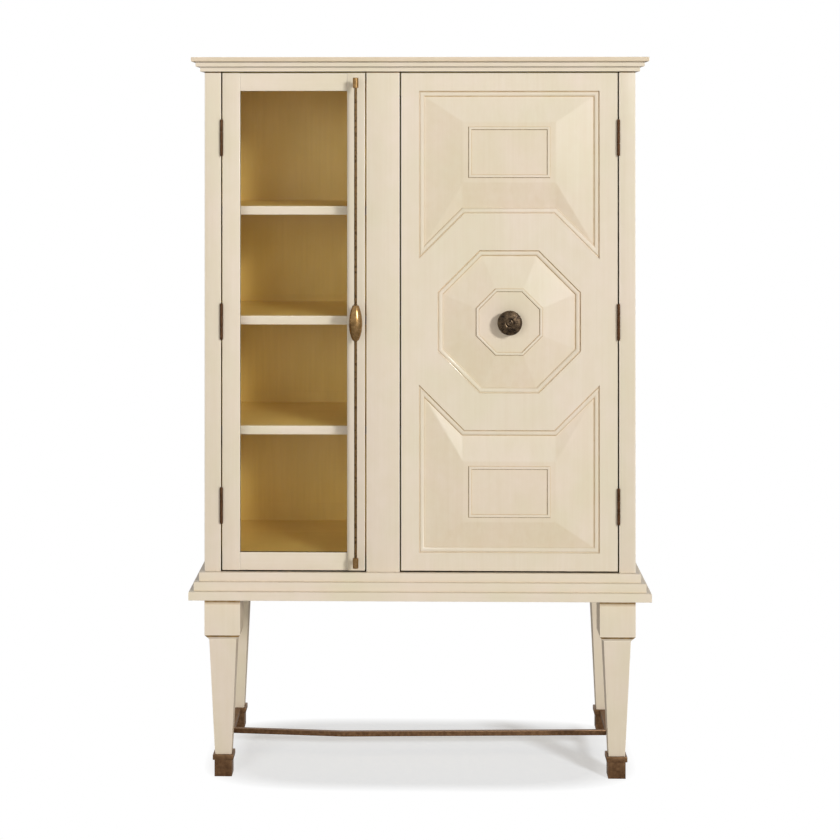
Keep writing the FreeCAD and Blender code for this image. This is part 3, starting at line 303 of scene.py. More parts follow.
def shaded_edges(mesh, front, index, outer=0):
    """Give faces inside a door gap the material of an index, used for painted shade.

    Outer is the side in X that stays painted.
    """
    for face in mesh.faces:
        if (abs(face.normal.y) < 0.5 and face.calc_center_median().y > front + 0.5 * MM
                and face.normal.x * outer < 0.5):
            face.material_index = index
    return mesh


def painted_shade_band(mesh, level, height, mark):
    """Paint a band of shade as a glaze mark, from a level up, or down where the height in mm is negative."""
    glaze_and_shade = layer(mesh, "glaze_and_shade")
    low, high = sorted((level, level + height * MM))
    for cut in (low, high):
        geometry = list(mesh.verts) + list(mesh.edges) + list(mesh.faces)
        bmesh.ops.bisect_plane(mesh, geom=geometry, dist=0.001 * MM, plane_co=(0, 0, cut), plane_no=(0, 0, 1))
    for face in mesh.faces:
        if low < face.calc_center_median().z < high:
            face[glaze_and_shade] = mark
    return mesh


def door_board(node, body, material, low, high):
    """Board of a door: edges beside the gap rubbed round, with painted shade on the faces inside the gap."""
    slab = node == "right_door_slab"
    mesh = eased(solid_of(node, slab), 1.1, lambda edge: on_rim(edge, low, high))
    if not slab:
        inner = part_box(node)
        eased(mesh, 0.6, lambda edge: not on_rim(edge, low, high)
              and ("stile" in node or not on_rim(edge, *inner, (0,))))
    shaded_edges(mesh, SLAB_LOW.y, 1)
    return finished(mesh, node + "_finish", body, [material, GAP_SHADE], [node], BOARD_SMOOTH)


def marked(mesh, chosen, index):
    """Give the faces that a test picks the material of an index."""
    for face in mesh.faces:
        if chosen(face):
            face.material_index = index
    return mesh


def inset(corners, amount):
    """Move the sides of a closed outline in by an amount. Corners run counterclockwise."""
    moved = []
    for index, corner in enumerate(corners):
        before = (corner - corners[index - 1]).normalized()
        after = (corners[(index + 1) % len(corners)] - corner).normalized()
        left, right = Vector((-before.y, before.x)), Vector((-after.y, after.x))
        moved.append(corner + (left + right) * (amount / (1 + left.dot(right))))
    return moved


def strip(mesh, rings, marks, closed, share=None):
    """Join rings of points with faces. Each row of faces gets its mark of glaze, times a share by side.

    The share by side adds painted shade on the sides that face away from the light.
    """
    glaze_and_shade = layer(mesh, "glaze_and_shade")
    rows = [[mesh.verts.new(point) for point in ring] for ring in rings]
    for row, mark in enumerate(marks):
        count = len(rows[row])
        for index in range(count if closed else count - 1):
            after = (index + 1) % count
            corners = [rows[row][index], rows[row][after], rows[row + 1][after], rows[row + 1][index]]
            mesh.faces.new(corners)[glaze_and_shade] = mark * (share(row, index) if share else 1.0)
    return rows


# Case mouldings

def swept_round(name, node, profile):
    """Moulding mitred round the front and both sides. The profile gives reach, height and glaze per run."""
    mesh = bmesh.new()
    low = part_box(node)[0].z
    rings = []
    for reach, height, mark in profile:
        out, level = reach * MM, low + height * MM
        left, right, front = CASE_LEFT - out, CASE_RIGHT + out, CASE_FRONT - out
        rings.append([Vector((left, CASE_BACK, level)), Vector((left, front, level)),
                      Vector((right, front, level)), Vector((right, CASE_BACK, level))])
    rings.append(rings[0])
    marks = [mark for reach, height, mark in profile]
    strip(mesh, rings, marks, False)
    # Painted shade: the side faces get at least the side mark of glaze
    glaze_and_shade = layer(mesh, "glaze_and_shade")
    for face in mesh.faces:
        face.normal_update()
        if abs(face.normal.x) > 0.7:
            face[glaze_and_shade] = max(face[glaze_and_shade], SIDE_SHADE)
    bmesh.ops.remove_doubles(mesh, verts=mesh.verts, dist=0.001 * MM)
    ends = [edge for edge in mesh.edges if len(edge.link_faces) == 1]
    bmesh.ops.contextual_create(mesh, geom=[edge for edge in ends if edge.verts[0].co.x < 0])
    bmesh.ops.contextual_create(mesh, geom=[edge for edge in ends if edge.verts[0].co.x > 0])
    return finished(mesh, name, "cabinet", [LEVEL], [node])


def nose(reach, step, low, height, radius, upper):
    """Runs of one step of a moulding: a face with a rounded nose at its lower or upper edge."""
    turn = [math.radians(angle) for angle in (0, 22.5, 45, 67.5, 90)]
    if upper:
        face = [(reach, low + 0.4, 0.0), (reach, low + height - radius, 0.0)]
        arc = [(reach - radius + radius * math.cos(a), low + height - radius + radius * math.sin(a), 0.0)
               for a in turn[1:]]
        return face + arc + [(reach - step + 0.9, low + height, 0.1)]
    arc = [(reach - radius + radius * math.sin(a), low + radius - radius * math.cos(a), 0.0) for a in turn]
    return arc + [(reach, low + height - 0.4, 0.0)]


def cornice():
    """Two lower steps of the cornice, dark under each nose.

    The dark is glaze in the corners and painted shade under the overhangs.
    """
    step, height = 10.5, 12.0
    profile = [(-60.0, 0.0, 0.0), (-24.0, 0.0, 1.0), (step - 3.0, 0.0, 0.6)]
    profile += nose(step, step, 0.0, height, 1.6, False)
    profile += [(step, height, 0.85), (2 * step - 3.4, height, 0.5)]
    profile += nose(2 * step, step, height, height, 2.5, False)
    profile += [(2 * step, 2 * height, 0.0), (-60.0, 2 * height, 0.0)]
    swept_round("cornice_steps", "cornice_moulding", profile)
    mesh = eased(solid_of("top_board"), 1.0)
    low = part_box("cornice_moulding")[1].z
    # Painted shade: dark glaze on the underside over the cornice; a thin film of glaze on the front
    glaze_and_shade = layer(mesh, "glaze_and_shade")
    for face in mesh.faces:
        if face.normal.z < -0.5 and abs(face.calc_center_median().z - low) < 0.5 * MM:
            face[glaze_and_shade] = 0.8
        if face.normal.y < -0.5:
            face[glaze_and_shade] = 0.1
    finished(mesh, "top_board_finish", "cabinet", [LEVEL], ["top_board"], BOARD_SMOOTH)


def plinth():
    """Three steps of the plinth, with rounded upper edges and faint glaze lines where they meet."""
    step, height = 12.2, 22.0
    profile = [(-72.0, 0.0, 0.3), (3 * step - 0.8, 0.0, 0.0)]
    for row, reach in enumerate((3 * step, 2 * step, step)):
        low = row * height
        profile += nose(reach, step, low, height, 2.5, True)
        if row < 2:
            profile += [(reach - step, low + height, 0.15)]
    # The upper step runs on under the case
    profile[-1] = (0.0, 3 * height, 1.0)
    profile += [(-24.0, 3 * height, 0.0), (-72.0, 3 * height, 0.0)]
    swept_round("plinth_steps", "plinth_moulding", profile)


# Right door

# Width of the CAD mouldings, and depth of their backs behind the door face
MOULDING_WIDTH = 13.0
MOULDING_BACK = 13.0
# Moulding round a panel: inset from the edge of the recess, depth behind the door face, and glaze of the
# run after it. The glaze is raised on the sides that face away from the light, as painted shade.
PANEL_MOULDING = [
    (0.0, 0.0, 0.05), (0.5, 4.3, 0.25), (1.6, 4.8, 0.05), (3.0, 2.8, 0.0), (4.2, 1.8, 0.0), (6.0, 1.5, 0.0),
    (9.0, 1.9, 0.0), (11.2, 2.7, 0.08), (13.0, 4.6, 0.2), (15.0, 7.2, 0.45), (16.4, 8.4, 0.0),
]


def rectangle(half, low, high):
    """Corners of a rectangle about the middle, counterclockwise seen from the front."""
    return [Vector(corner) for corner in ((half, high), (-half, high), (-half, low), (half, low))]


def octagon(reach):
    """Corners of an upright octagon, counterclockwise seen from the front."""
    side = reach * math.tan(math.radians(22.5))
    corners = [(reach, -side), (reach, side), (side, reach), (-side, reach), (-reach, side), (-reach, -side),
               (-side, -reach), (side, -reach)]
    return [Vector(corner) for corner in corners]


def notched(end):
    """Corners of a long recess, counterclockwise seen from the front. Its inner end follows the octagon."""
    half, far, band = 229.0, 586.5, 275.0
    tip, side = band * math.sqrt(2) - half, band * math.tan(math.radians(22.5))
    corners = [(half, far), (-half, far), (-half, tip), (-side, band), (side, band), (half, tip)]
    if end < 0:
        corners = [(x, -z) for x, z in reversed(corners)]
    return [Vector(corner) for corner in corners]


def on_door(corner, depth):
    """Point on the right door, from millimetres across, up and behind its face."""
    return Vector((DOOR_CENTRE.x + corner.x * MM, SLAB_LOW.y + depth * MM, DOOR_CENTRE.z + corner.y * MM))


def shade_by_side(outline):
    """How far each side of an outline on the door lies to the top and the right, from 0 to 1.

    It weights painted shade on the sides that face away from a light at the upper right.
    """
    sides = [outline[(index + 1) % len(outline)] - corner for index, corner in enumerate(outline)]
    return [min(max(0.5 + 0.8 * side.normalized().dot(Vector((-0.8, 0.6))), 0.0), 1.0) for side in sides]


def ring_moulding(name, node, outline):
    """Mitred moulding in the edge of a recess, with more glaze at its top and right, as painted shade."""
    mesh = bmesh.new()
    section = PANEL_MOULDING + [(16.4, 9.0, 0.0), (MOULDING_WIDTH, MOULDING_BACK, 0.0),
                                (0.0, MOULDING_BACK, 0.0)]
    rings = [[on_door(corner, depth) for corner in inset(outline, amount)]
             for amount, depth, mark in section]
    rings.append(rings[0])
    up = shade_by_side(outline)
    strip(mesh, rings, [mark for amount, depth, mark in section], True,
          lambda row, side: 0.35 + 1.25 * up[side])
    bmesh.ops.remove_doubles(mesh, verts=mesh.verts, dist=0.001 * MM)
    return finished(mesh, name, "right_door", [UPRIGHT], [node], 28.0)


# Bead on a panel: inset from its outer edge, height over the field, and glaze of the run after it.
# On the sides that face away from the light the glaze is raised, as painted shade.
BEAD = [(0.0, 0.0, 0.45), (0.2, 1.8, 0.1), (0.9, 2.7, 0.0), (2.2, 3.0, 0.0), (4.4, 3.0, 0.0), (5.8, 2.7, 0.1),
        (6.6, 1.8, 0.45), (6.8, 0.0, 0.0)]


def faceted_panel(name, node, rim, field, pairs, bead):
    """Raised panel: flat facets from the rim to a field with soft arrises, and a rounded bead on the field.

    Pairs gives, for each corner of the rim, the corner of the field that its arris runs to.
    """
    # Depth of the rim and of the field behind the door face. The field stands proud of it.
    edge, top = 7.0, -3.5
    mesh = bmesh.new()
    glaze_and_shade = layer(mesh, "glaze_and_shade")
    tied = [field[number] for number in pairs]

    def ring(share):
        return [mesh.verts.new(on_door(low.lerp(high, share), edge + (top - edge) * share))
                for low, high in zip(rim, tied)]

    rows = [[mesh.verts.new(on_door(low, MOULDING_BACK)) for low in rim], ring(0.0), ring(0.02), ring(0.05)]
    crown = [mesh.verts.new(on_door(corner, top)) for corner in field]
    rows.append([crown[number] for number in pairs])
    count = len(rim)
    for row, mark in enumerate((0.0, 0.2, 0.05, 0.0)):
        for index in range(count):
            after = (index + 1) % count
            corners = [rows[row][index], rows[row][after], rows[row + 1][after], rows[row + 1][index]]
            corners = [corner for i, corner in enumerate(corners) if corner != corners[i - 1]]
            mesh.faces.new(corners)[glaze_and_shade] = mark
    mesh.faces.new(list(reversed(rows[0])))
    mesh.faces.new(crown)
    arrises = [mesh.edges.get((low, high)) for low, high in zip(rows[3], rows[4])]
    field_edges = [mesh.edges.get((crown[i - 1], crown[i])) for i in range(len(crown))]
    soft = [item for item in arrises + field_edges if item is not None]
    bmesh.ops.bevel(mesh, geom=soft, offset=2.6 * MM, segments=3, profile=0.5, affect="EDGES",
                    clamp_overlap=True)
    # Painted shade: a thin wash of glaze, fullest on the facets that tilt down and to the left,
    # away from the light
    facet_shade = 0.08
    for face in mesh.faces:
        face.normal_update()
        if face.normal.y < -0.5:
            down = 0.5 - 3.5 * (0.6 * face.normal.x + 0.8 * face.normal.z)
            face[glaze_and_shade] = max(face[glaze_and_shade], facet_shade * min(max(down, 0.0), 1.0))
    # The bead, with a dark line and then a faint one on the field at either side of it. The lines are
    # stronger on the sides that face away from the light, as painted shade.
    runs = [(amount, top - rise, mark) for amount, rise, mark in BEAD]
    section = [(-1.6, top - 0.02, 0.15), (-0.9, top - 0.04, 0.8)] + runs[:-1]
    section += [(6.8, top - 0.04, 0.8), (7.7, top - 0.04, 0.15), (8.4, top - 0.02, 0.0)]
    rings = [[on_door(corner, depth) for corner in inset(bead, amount)]
             for amount, depth, mark in section]
    up, middle = shade_by_side(bead), len(section) // 2
    strip(mesh, rings, [mark for amount, depth, mark in section[:-1]], True,
          lambda row, side: 0.3 + 0.85 * (1.0 - up[side] if row < middle else up[side]))
    return finished(mesh, name, "right_door", [UPRIGHT], [node], 12.0)


def right_door():
    """Slab, mouldings and raised panels of the right door."""
    door_board("right_door_slab", "right_door", UPRIGHT, SLAB_LOW, SLAB_HIGH)
    for label, end in (("upper", 1), ("lower", -1)):
        outline = notched(end)
        ring_moulding("%s_moulding_ring" % label, "%s_panel_moulding" % label, outline)
        rim = inset(outline, MOULDING_WIDTH)
        field, bead = rectangle(117.5, 354.0, 507.5), rectangle(103.0, 366.5, 495.0)
        pairs = (0, 1, 2, 2, 3, 3)
        if end < 0:
            field, bead = ([Vector((v.x, -v.y)) for v in reversed(shape)] for shape in (field, bead))
            pairs = tuple(3 - number for number in reversed(pairs))
        faceted_panel("%s_faceted_panel" % label, "%s_panel" % label, rim, field, pairs, bead)
    recess, field = octagon(181.6), octagon(84.0)
    rim = inset(recess, MOULDING_WIDTH)
    ring_moulding("octagon_moulding_ring", "octagon_moulding", recess)
    faceted_panel("octagon_faceted_panel", "octagon_panel", rim, field, range(8), field)


# Turned parts

def turned(mesh, profile, origin, axis, count):
    """Turn a profile of radius and height round an axis. The first and last radius may be zero."""
    axis = Vector(axis).normalized()
    across = axis.orthogonal().normalized()
    start = [mesh.verts.new(origin + across * (radius * MM) + axis * (height * MM))
             for radius, height in profile]
    edges = [mesh.edges.new((start[i], start[i + 1])) for i in range(len(start) - 1)]
    bmesh.ops.spin(mesh, geom=start + edges, cent=origin, axis=axis, angle=2 * math.pi, steps=count,
                   use_merge=True)
    bmesh.ops.remove_doubles(mesh, verts=mesh.verts, dist=0.002 * MM)
    return mesh


def pull():
    """Rod with its egg-shaped grip and the two posts."""
    low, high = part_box("pull_rod")
    post_low, post_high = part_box("pull_posts")
    centre = (low + high) / 2
    half = (post_high.z - post_low.z) / 2 / MM
    # The egg is widest a little below its middle, and runs from a cut end to a cut end
    widest, cut, slim, bulge, steps = -3.0, 44.1, 7.7, 9.3, 24
    egg = [(0.0, -44.5), (6.9, -44.5), (7.6, -cut)]
    for number in range(1, steps):
        level = -cut + 2 * cut * number / steps
        spread = 1 - ((level - widest) / (cut + widest if level < widest else cut - widest)) ** 2
        egg.append((slim + bulge * max(spread, 0.0) ** 0.9, level))
    egg += [(7.6, cut), (6.9, 44.5), (0.0, 44.5)]
    mesh = turned(bmesh.new(), egg, centre, (0, 0, 1), 48)
    finished(mesh, "pull_grip", "left_door", [BRASS], ["pull_rod"], 40.0)
    mesh = bmesh.new()
    reach = half - 24.0
    rod = [(0.0, -reach), (3.75, -reach), (3.75, -48.0), (4.6, -47.0), (4.6, -45.0), (0.0, -44.8)]
    turned(mesh, rod, centre, (0, 0, 1), 24)
    turned(mesh, [(radius, -level) for radius, level in rod], centre, (0, 0, 1), 24)
    finished(mesh, "pull_rod_finish", "left_door", [ROD_BRASS], ["pull_rod"], 40.0)
    # At each end an upright barrel, and a stem that runs back from it to a rose on the door
    mesh = bmesh.new()
    for end in (-1, 1):
        origin = centre + Vector((0, 0, end * (half - 13.0) * MM))
        barrel = [(0.0, -13.0), (6.7, -13.0), (7.25, -12.4), (7.25, 12.4), (6.7, 13.0), (0.0, 13.0)]
        turned(mesh, [(radius, end * level) for radius, level in barrel], origin, (0, 0, 1), 32)
        stem = [(5.0, 0.0), (5.0, 31.0), (5.4, 32.4), (6.4, 33.0), (6.4, 33.9), (0.0, 33.9)]
        turned(mesh, stem, origin, (0, 1, 0), 28)
    finished(mesh, "pull_post_finish", "left_door", [BRASS], ["pull_posts"], 25.0)


def knob():
    """Blackened bronze knob: a low dome with rings of small leaves round a boss."""
    low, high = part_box("door_knob")
    origin = Vector(((low.x + high.x) / 2, high.y, (low.z + high.z) / 2))
    # Radius and height over the panel: base plate, neck, rim, face and boss
    body = [(0.0, 0.0), (14.0, 0.0), (15.0, 1.0), (15.0, 3.0), (13.0, 4.0), (9.5, 6.0), (9.0, 9.0),
            (9.0, 17.0), (11.0, 20.0), (20.0, 22.5), (29.0, 24.5), (31.3, 26.5), (31.3, 29.0), (30.0, 30.6),
            (27.6, 31.0), (26.6, 30.2), (24.0, 30.8), (18.0, 32.0), (12.5, 32.6), (11.5, 31.8),
            (10.0, 31.8), (9.2, 33.2), (7.5, 34.6), (5.0, 35.0), (4.2, 34.6), (3.4, 35.2), (2.0, 35.9),
            (0.0, 36.0)]
    mesh = turned(bmesh.new(), body, origin, (0, -1, 0), 64)
    finished(mesh, "knob_body", "right_door", [BLACK_BRONZE], ["door_knob"], 40.0)
    return origin


# Repeated parts made with Geometry Nodes

def grown(name, tree, inputs, body, nodes):
    """Run a Geometry Nodes tree once and keep its result as a plain mesh piece."""
    host = bpy.data.objects.new(name + "_host", bpy.data.meshes.new(name + "_host"))
    bpy.context.scene.collection.objects.link(host)
    run = host.modifiers.new("grow", "NODES")
    run.node_group = tree
    for item in tree.interface.items_tree:
        if item.item_type == "SOCKET" and item.in_out == "INPUT" and item.name in inputs:
            run[item.identifier] = inputs[item.name]
    view = bpy.context.evaluated_depsgraph_get()
    data = bpy.data.meshes.new_from_object(host.evaluated_get(view), depsgraph=view)
    data.name = name
    host.modifiers.remove(run)
    bpy.data.objects.remove(host)
    return placed(data, name, body, [], nodes, 40.0)


def column_tree():
    """Tree that repeats a part up a column: count, spacing, and the places of the columns along X."""
    tree = bpy.data.node_groups.new("part_columns", "GeometryNodeTree")
    face = tree.interface
    for label, kind in (("Part", "NodeSocketObject"), ("Count", "NodeSocketInt"),
                        ("Spacing", "NodeSocketFloat"), ("First", "NodeSocketVector"),
                        ("Finish", "NodeSocketMaterial")):
        face.new_socket(label, in_out="INPUT", socket_type=kind)
    face.new_socket("Geometry", in_out="OUTPUT", socket_type="NodeSocketGeometry")
    given = add(tree, "NodeGroupInput").outputs
    step = add(tree, "ShaderNodeCombineXYZ", {"Z": given["Spacing"]})
    line = add(tree, "GeometryNodeMeshLine", {"Count": given["Count"], "Start Location": given["First"],
                                              "Offset": step.outputs[0]})
    part = add(tree, "GeometryNodeObjectInfo", {"Object": given["Part"]})
    spread = add(tree, "GeometryNodeInstanceOnPoints", {"Points": line.outputs[0],
                                                        "Instance": part.outputs["Geometry"]})
    real = add(tree, "GeometryNodeRealizeInstances", {"Geometry": spread.outputs[0]})
    dressed = add(tree, "GeometryNodeSetMaterial", {"Geometry": real.outputs[0], "Material": given["Finish"]})
    add(tree, "NodeGroupOutput", {0: dressed.outputs[0]})
    return tree


# Half the length of a hinge without its tips, and the depths of its plates behind the pin
HINGE_HALF = 44.5
PLATE_FRONT, PLATE_BACK = 4.3, 22.3


def hinge_part(name, knuckles, side):
    """One leaf of a hinge with its knuckles, round the pin axis at the origin.

    Each knuckle gives its lower and upper level in mm, and 1 or -1 for a tip at its upper or lower end. Side
    is the side of the axis that the plate lies on.
    """
    mesh = bmesh.new()
    for low, high, tip in knuckles:
        profile = [(0.0, low), (3.3, low), (3.9, low + 0.6), (4.0, low + 1.2), (4.0, high - 1.2),
                   (3.9, high - 0.6), (3.3, high), (0.0, high)]
        if tip > 0:
            profile[-2:] = [(3.3, high), (3.3, high + 1.7), (2.9, high + 2.0), (0.0, high + 2.0)]
        if tip < 0:
            profile[:2] = [(0.0, low - 2.0), (2.9, low - 2.0), (3.3, low - 1.7), (3.3, low)]
        turned(mesh, profile, Vector((0, 0, 0)), (0, 0, 1), 24)
        plate(mesh, side, low, high, 0.0, PLATE_FRONT)
    plate(mesh, side, -HINGE_HALF, HINGE_HALF, PLATE_FRONT, PLATE_BACK)
    bmesh.ops.recalc_face_normals(mesh, faces=mesh.faces)
    data = bpy.data.meshes.new(name)
    mesh.to_mesh(data)
    mesh.free()
    return bpy.data.objects.new(name, data)


def plate(mesh, side, low, high, front, back):
    """Thin plate of a hinge leaf beside the gap of a door, between two levels and two depths in mm."""
    box = bmesh.ops.create_cube(mesh, size=1.0)["verts"]
    size = Vector((1.2, back - front, high - low)) * MM
    middle = Vector((side * 0.9, (front + back) / 2, (low + high) / 2)) * MM
    bmesh.ops.transform(mesh, matrix=Matrix.Translation(middle) @ Matrix.Diagonal((*size, 1.0)), verts=box)


def hinges():
    """Three hinges on each door: the case leaf has the outer knuckles, the door leaf the middle one."""
    tree = column_tree()
    # A gap of 0.32 mm keeps the knuckles apart
    outer = [(-HINGE_HALF, -15.15, -1), (15.15, HINGE_HALF, 1)]
    middle = [(-14.83, 14.83, 0)]
    spacing = 467.6 * MM
    for label, side in (("left", -1), ("right", 1)):
        joint = next(item for item in frame["joints"] if item["name"] == label + "_door_hinge")
        x, y, z = joint["pos_m"]
        for body, knuckles, plate_side, nodes in (
                ("cabinet", outer, side, ["case_hinge_leaves", "hinge_pins"]),
                (label + "_door", middle, -side, [label + "_door_hinge_leaves"])):
            part = hinge_part("%s_%s_leaf" % (label, body), knuckles, plate_side)
            inputs = {"Part": part, "Count": 3, "Spacing": spacing, "First": (x, y, z - spacing),
                      "Finish": HINGE_BRONZE}
            grown("%s_hinges_on_%s" % (label, body), tree, inputs, body, nodes)


def rosette_tree():
    """Tree that sets a ring of one leaf round the face of the knob."""
    tree = bpy.data.node_groups.new("leaf_ring", "GeometryNodeTree")
    face = tree.interface
    for label, kind in (("Leaf", "NodeSocketObject"), ("Count", "NodeSocketInt"),
                        ("Radius", "NodeSocketFloat"), ("Centre", "NodeSocketVector"),
                        ("Leaf Size", "NodeSocketFloat"), ("Finish", "NodeSocketMaterial")):
        face.new_socket(label, in_out="INPUT", socket_type=kind)
    face.new_socket("Geometry", in_out="OUTPUT", socket_type="NodeSocketGeometry")
    given = add(tree, "NodeGroupInput").outputs
    ring = add(tree, "GeometryNodeMeshCircle", {"Vertices": given["Count"], "Radius": given["Radius"]})
    spin = add(tree, "GeometryNodeInputIndex")
    share = add(tree, "ShaderNodeMath", {0: spin.outputs[0], 1: given["Count"]}, operation="DIVIDE")
    angle = add(tree, "ShaderNodeMath", {0: share.outputs[0], 1: 2 * math.pi}, operation="MULTIPLY")
    turn = add(tree, "ShaderNodeCombineXYZ", {"Z": angle.outputs[0]})
    leaf = add(tree, "GeometryNodeObjectInfo", {"Object": given["Leaf"]})
    spread = add(tree, "GeometryNodeInstanceOnPoints",
                 {"Points": ring.outputs[0], "Instance": leaf.outputs["Geometry"],
                  "Rotation": turn.outputs[0], "Scale": given["Leaf Size"]})
    upright = add(tree, "GeometryNodeTransform",
                  {"Geometry": spread.outputs[0], "Translation": given["Centre"],
                   "Rotation": (math.radians(90), 0, 0)})
    real = add(tree, "GeometryNodeRealizeInstances", {"Geometry": upright.outputs[0]})
    dressed = add(tree, "GeometryNodeSetMaterial", {"Geometry": real.outputs[0], "Material": given["Finish"]})
    add(tree, "NodeGroupOutput", {0: dressed.outputs[0]})
    return tree


def knob_leaves(origin):
    """Rings of small leaves and beads on the face of the knob."""
    mesh = bmesh.new()
    bmesh.ops.create_uvsphere(mesh, u_segments=10, v_segments=6, radius=1.0)
    shape = Matrix.Diagonal((2.5 * MM, 1.2 * MM, 1.6 * MM, 1.0))
    bmesh.ops.transform(mesh, matrix=shape, verts=mesh.verts)
    data = bpy.data.meshes.new("knob_leaf")
    mesh.to_mesh(data)
    mesh.free()
    leaf = bpy.data.objects.new("knob_leaf", data)
    tree = rosette_tree()
    # Count, radius, height over the panel and size of the leaf
    rings = ((14, 14.3, 32.2, 0.95), (22, 19.6, 31.5, 1.0), (28, 24.6, 30.6, 0.85), (44, 29.0, 30.7, 0.55))
    for number, (count, radius, reach, scale) in enumerate(rings):
        inputs = {"Leaf": leaf, "Count": count, "Radius": radius * MM, "Leaf Size": scale,
                  "Finish": BLACK_BRONZE, "Centre": (origin.x, origin.y - reach * MM, origin.z)}
        grown("knob_leaves_%d" % (number + 1), tree, inputs, "right_door", ["door_knob"])


# Boards, legs and metal feet

def case_boards():
    """Sides, stiles, shelves, door frame and legs with eased edges, and the metal feet."""
    for node, inward in (("left_side", 1), ("right_side", -1)):
        mesh = marked(eased(solid_of(node), 0.8), lambda face: face.normal.x * inward > 0.9, 1)
        finished(mesh, node + "_finish", "cabinet", [UPRIGHT, GOLD], [node], BOARD_SMOOTH)
    for node, outer in (("left_stile", -1), ("centre_stile", 0), ("right_stile", 1)):
        mesh = marked(eased(solid_of(node), 1.1), lambda face: face.normal.y > 0.9, 1)
        # Painted shade: the faces inside the door gaps get the dark gap material
        shaded_edges(mesh, CASE_FRONT, 2, outer)
        # Painted shadow of the cornice: a band of thick glaze over the doors
        painted_shade_band(mesh, SLAB_HIGH.z + 3.0 * MM, -3.0, 0.75)
        finished(mesh, node + "_finish", "cabinet", [UPRIGHT, GOLD, GAP_SHADE], [node],
                 BOARD_SMOOTH)
    for node in ("left_lower_shelf", "left_middle_shelf", "left_upper_shelf", "right_lower_shelf",
                 "right_upper_shelf"):
        mesh = marked(eased(solid_of(node), 1.2), lambda face: face.normal.y < -0.3, 1)
        finished(mesh, node + "_finish", "cabinet", [GOLD, LEVEL], [node], BOARD_SMOOTH)
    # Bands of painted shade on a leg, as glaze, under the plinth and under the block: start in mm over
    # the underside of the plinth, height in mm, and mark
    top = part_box("plinth_moulding")[0].z
    shade_bands = ((0.0, -8.0, 0.75), (-8.0, -5.0, 0.4), (-13.0, -6.0, 0.12), (-97.0, -6.0, 0.75))
    for node in ("front_left_leg", "front_right_leg", "rear_left_leg", "rear_right_leg"):
        mesh = eased(solid_of(node), 1.6)
        inward = 1 if "left" in node else -1
        glaze_and_shade = layer(mesh, "glaze_and_shade")
        # Painted shade on the side of the leg that faces in
        for face in mesh.faces:
            if face.normal.x * inward > 0.7:
                face[glaze_and_shade] = 0.15
        for start, height, mark in shade_bands:
            painted_shade_band(mesh, top + start * MM, height, mark)
        finished(mesh, node + "_finish", "cabinet", [UPRIGHT], [node], BOARD_SMOOTH)
    for node in ("front_left_ferrule", "front_right_ferrule", "rear_left_ferrule", "rear_right_ferrule",
                 "left_side_stretcher", "right_side_stretcher", "cross_stretcher"):
        finished(eased(solid_of(node), 0.8), node + "_finish", "cabinet", [BRONZE], [node],
                 BOARD_SMOOTH)
    low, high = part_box("left_door_hinge_stile")[0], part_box("left_door_pull_stile")[1]
    for node, material in (("left_door_hinge_stile", UPRIGHT), ("left_door_pull_stile", UPRIGHT),
                           ("left_door_top_rail", LEVEL), ("left_door_bottom_rail", LEVEL)):
        door_board(node, "left_door", material, low, high)


def dress_nodes():
    """Materials for the CAD nodes that stay, and copies of the two boards that have a second material."""
    wanted = {
        "case_top": GOLD, "case_floor": GOLD, "stemware_rails": GOLD, "glazing_beads": GOLD,
        "base_board": DEEP, "plinth_back_rail": LEVEL, "glass_pane": GLASS, "magnetic_catches": PLASTIC,
        "left_strike_plate": STEEL, "right_strike_plate": STEEL, "knob_screw": STEEL,
    }
    for node, material in wanted.items():
        data = frame["nodes"][node].data
        data.materials.clear()
        data.materials.append(material)
    # Painted shade: the front of the partition, seen through the door gap, gets the dark gap material
    mesh = marked(solid_of("centre_partition"), lambda face: face.normal.y < -0.9, 1)
    finished(mesh, "centre_partition_finish", "cabinet", [GOLD, GAP_SHADE], ["centre_partition"])
    mesh = marked(solid_of("back_panel"), lambda face: face.normal.y < -0.9, 1)
    finished(mesh, "back_panel_finish", "cabinet", [UPRIGHT, GOLD], ["back_panel"])


cornice()
plinth()
right_door()
pull()
knob_leaves(knob())
hinges()
case_boards()
dress_nodes()


# Floor, light and camera

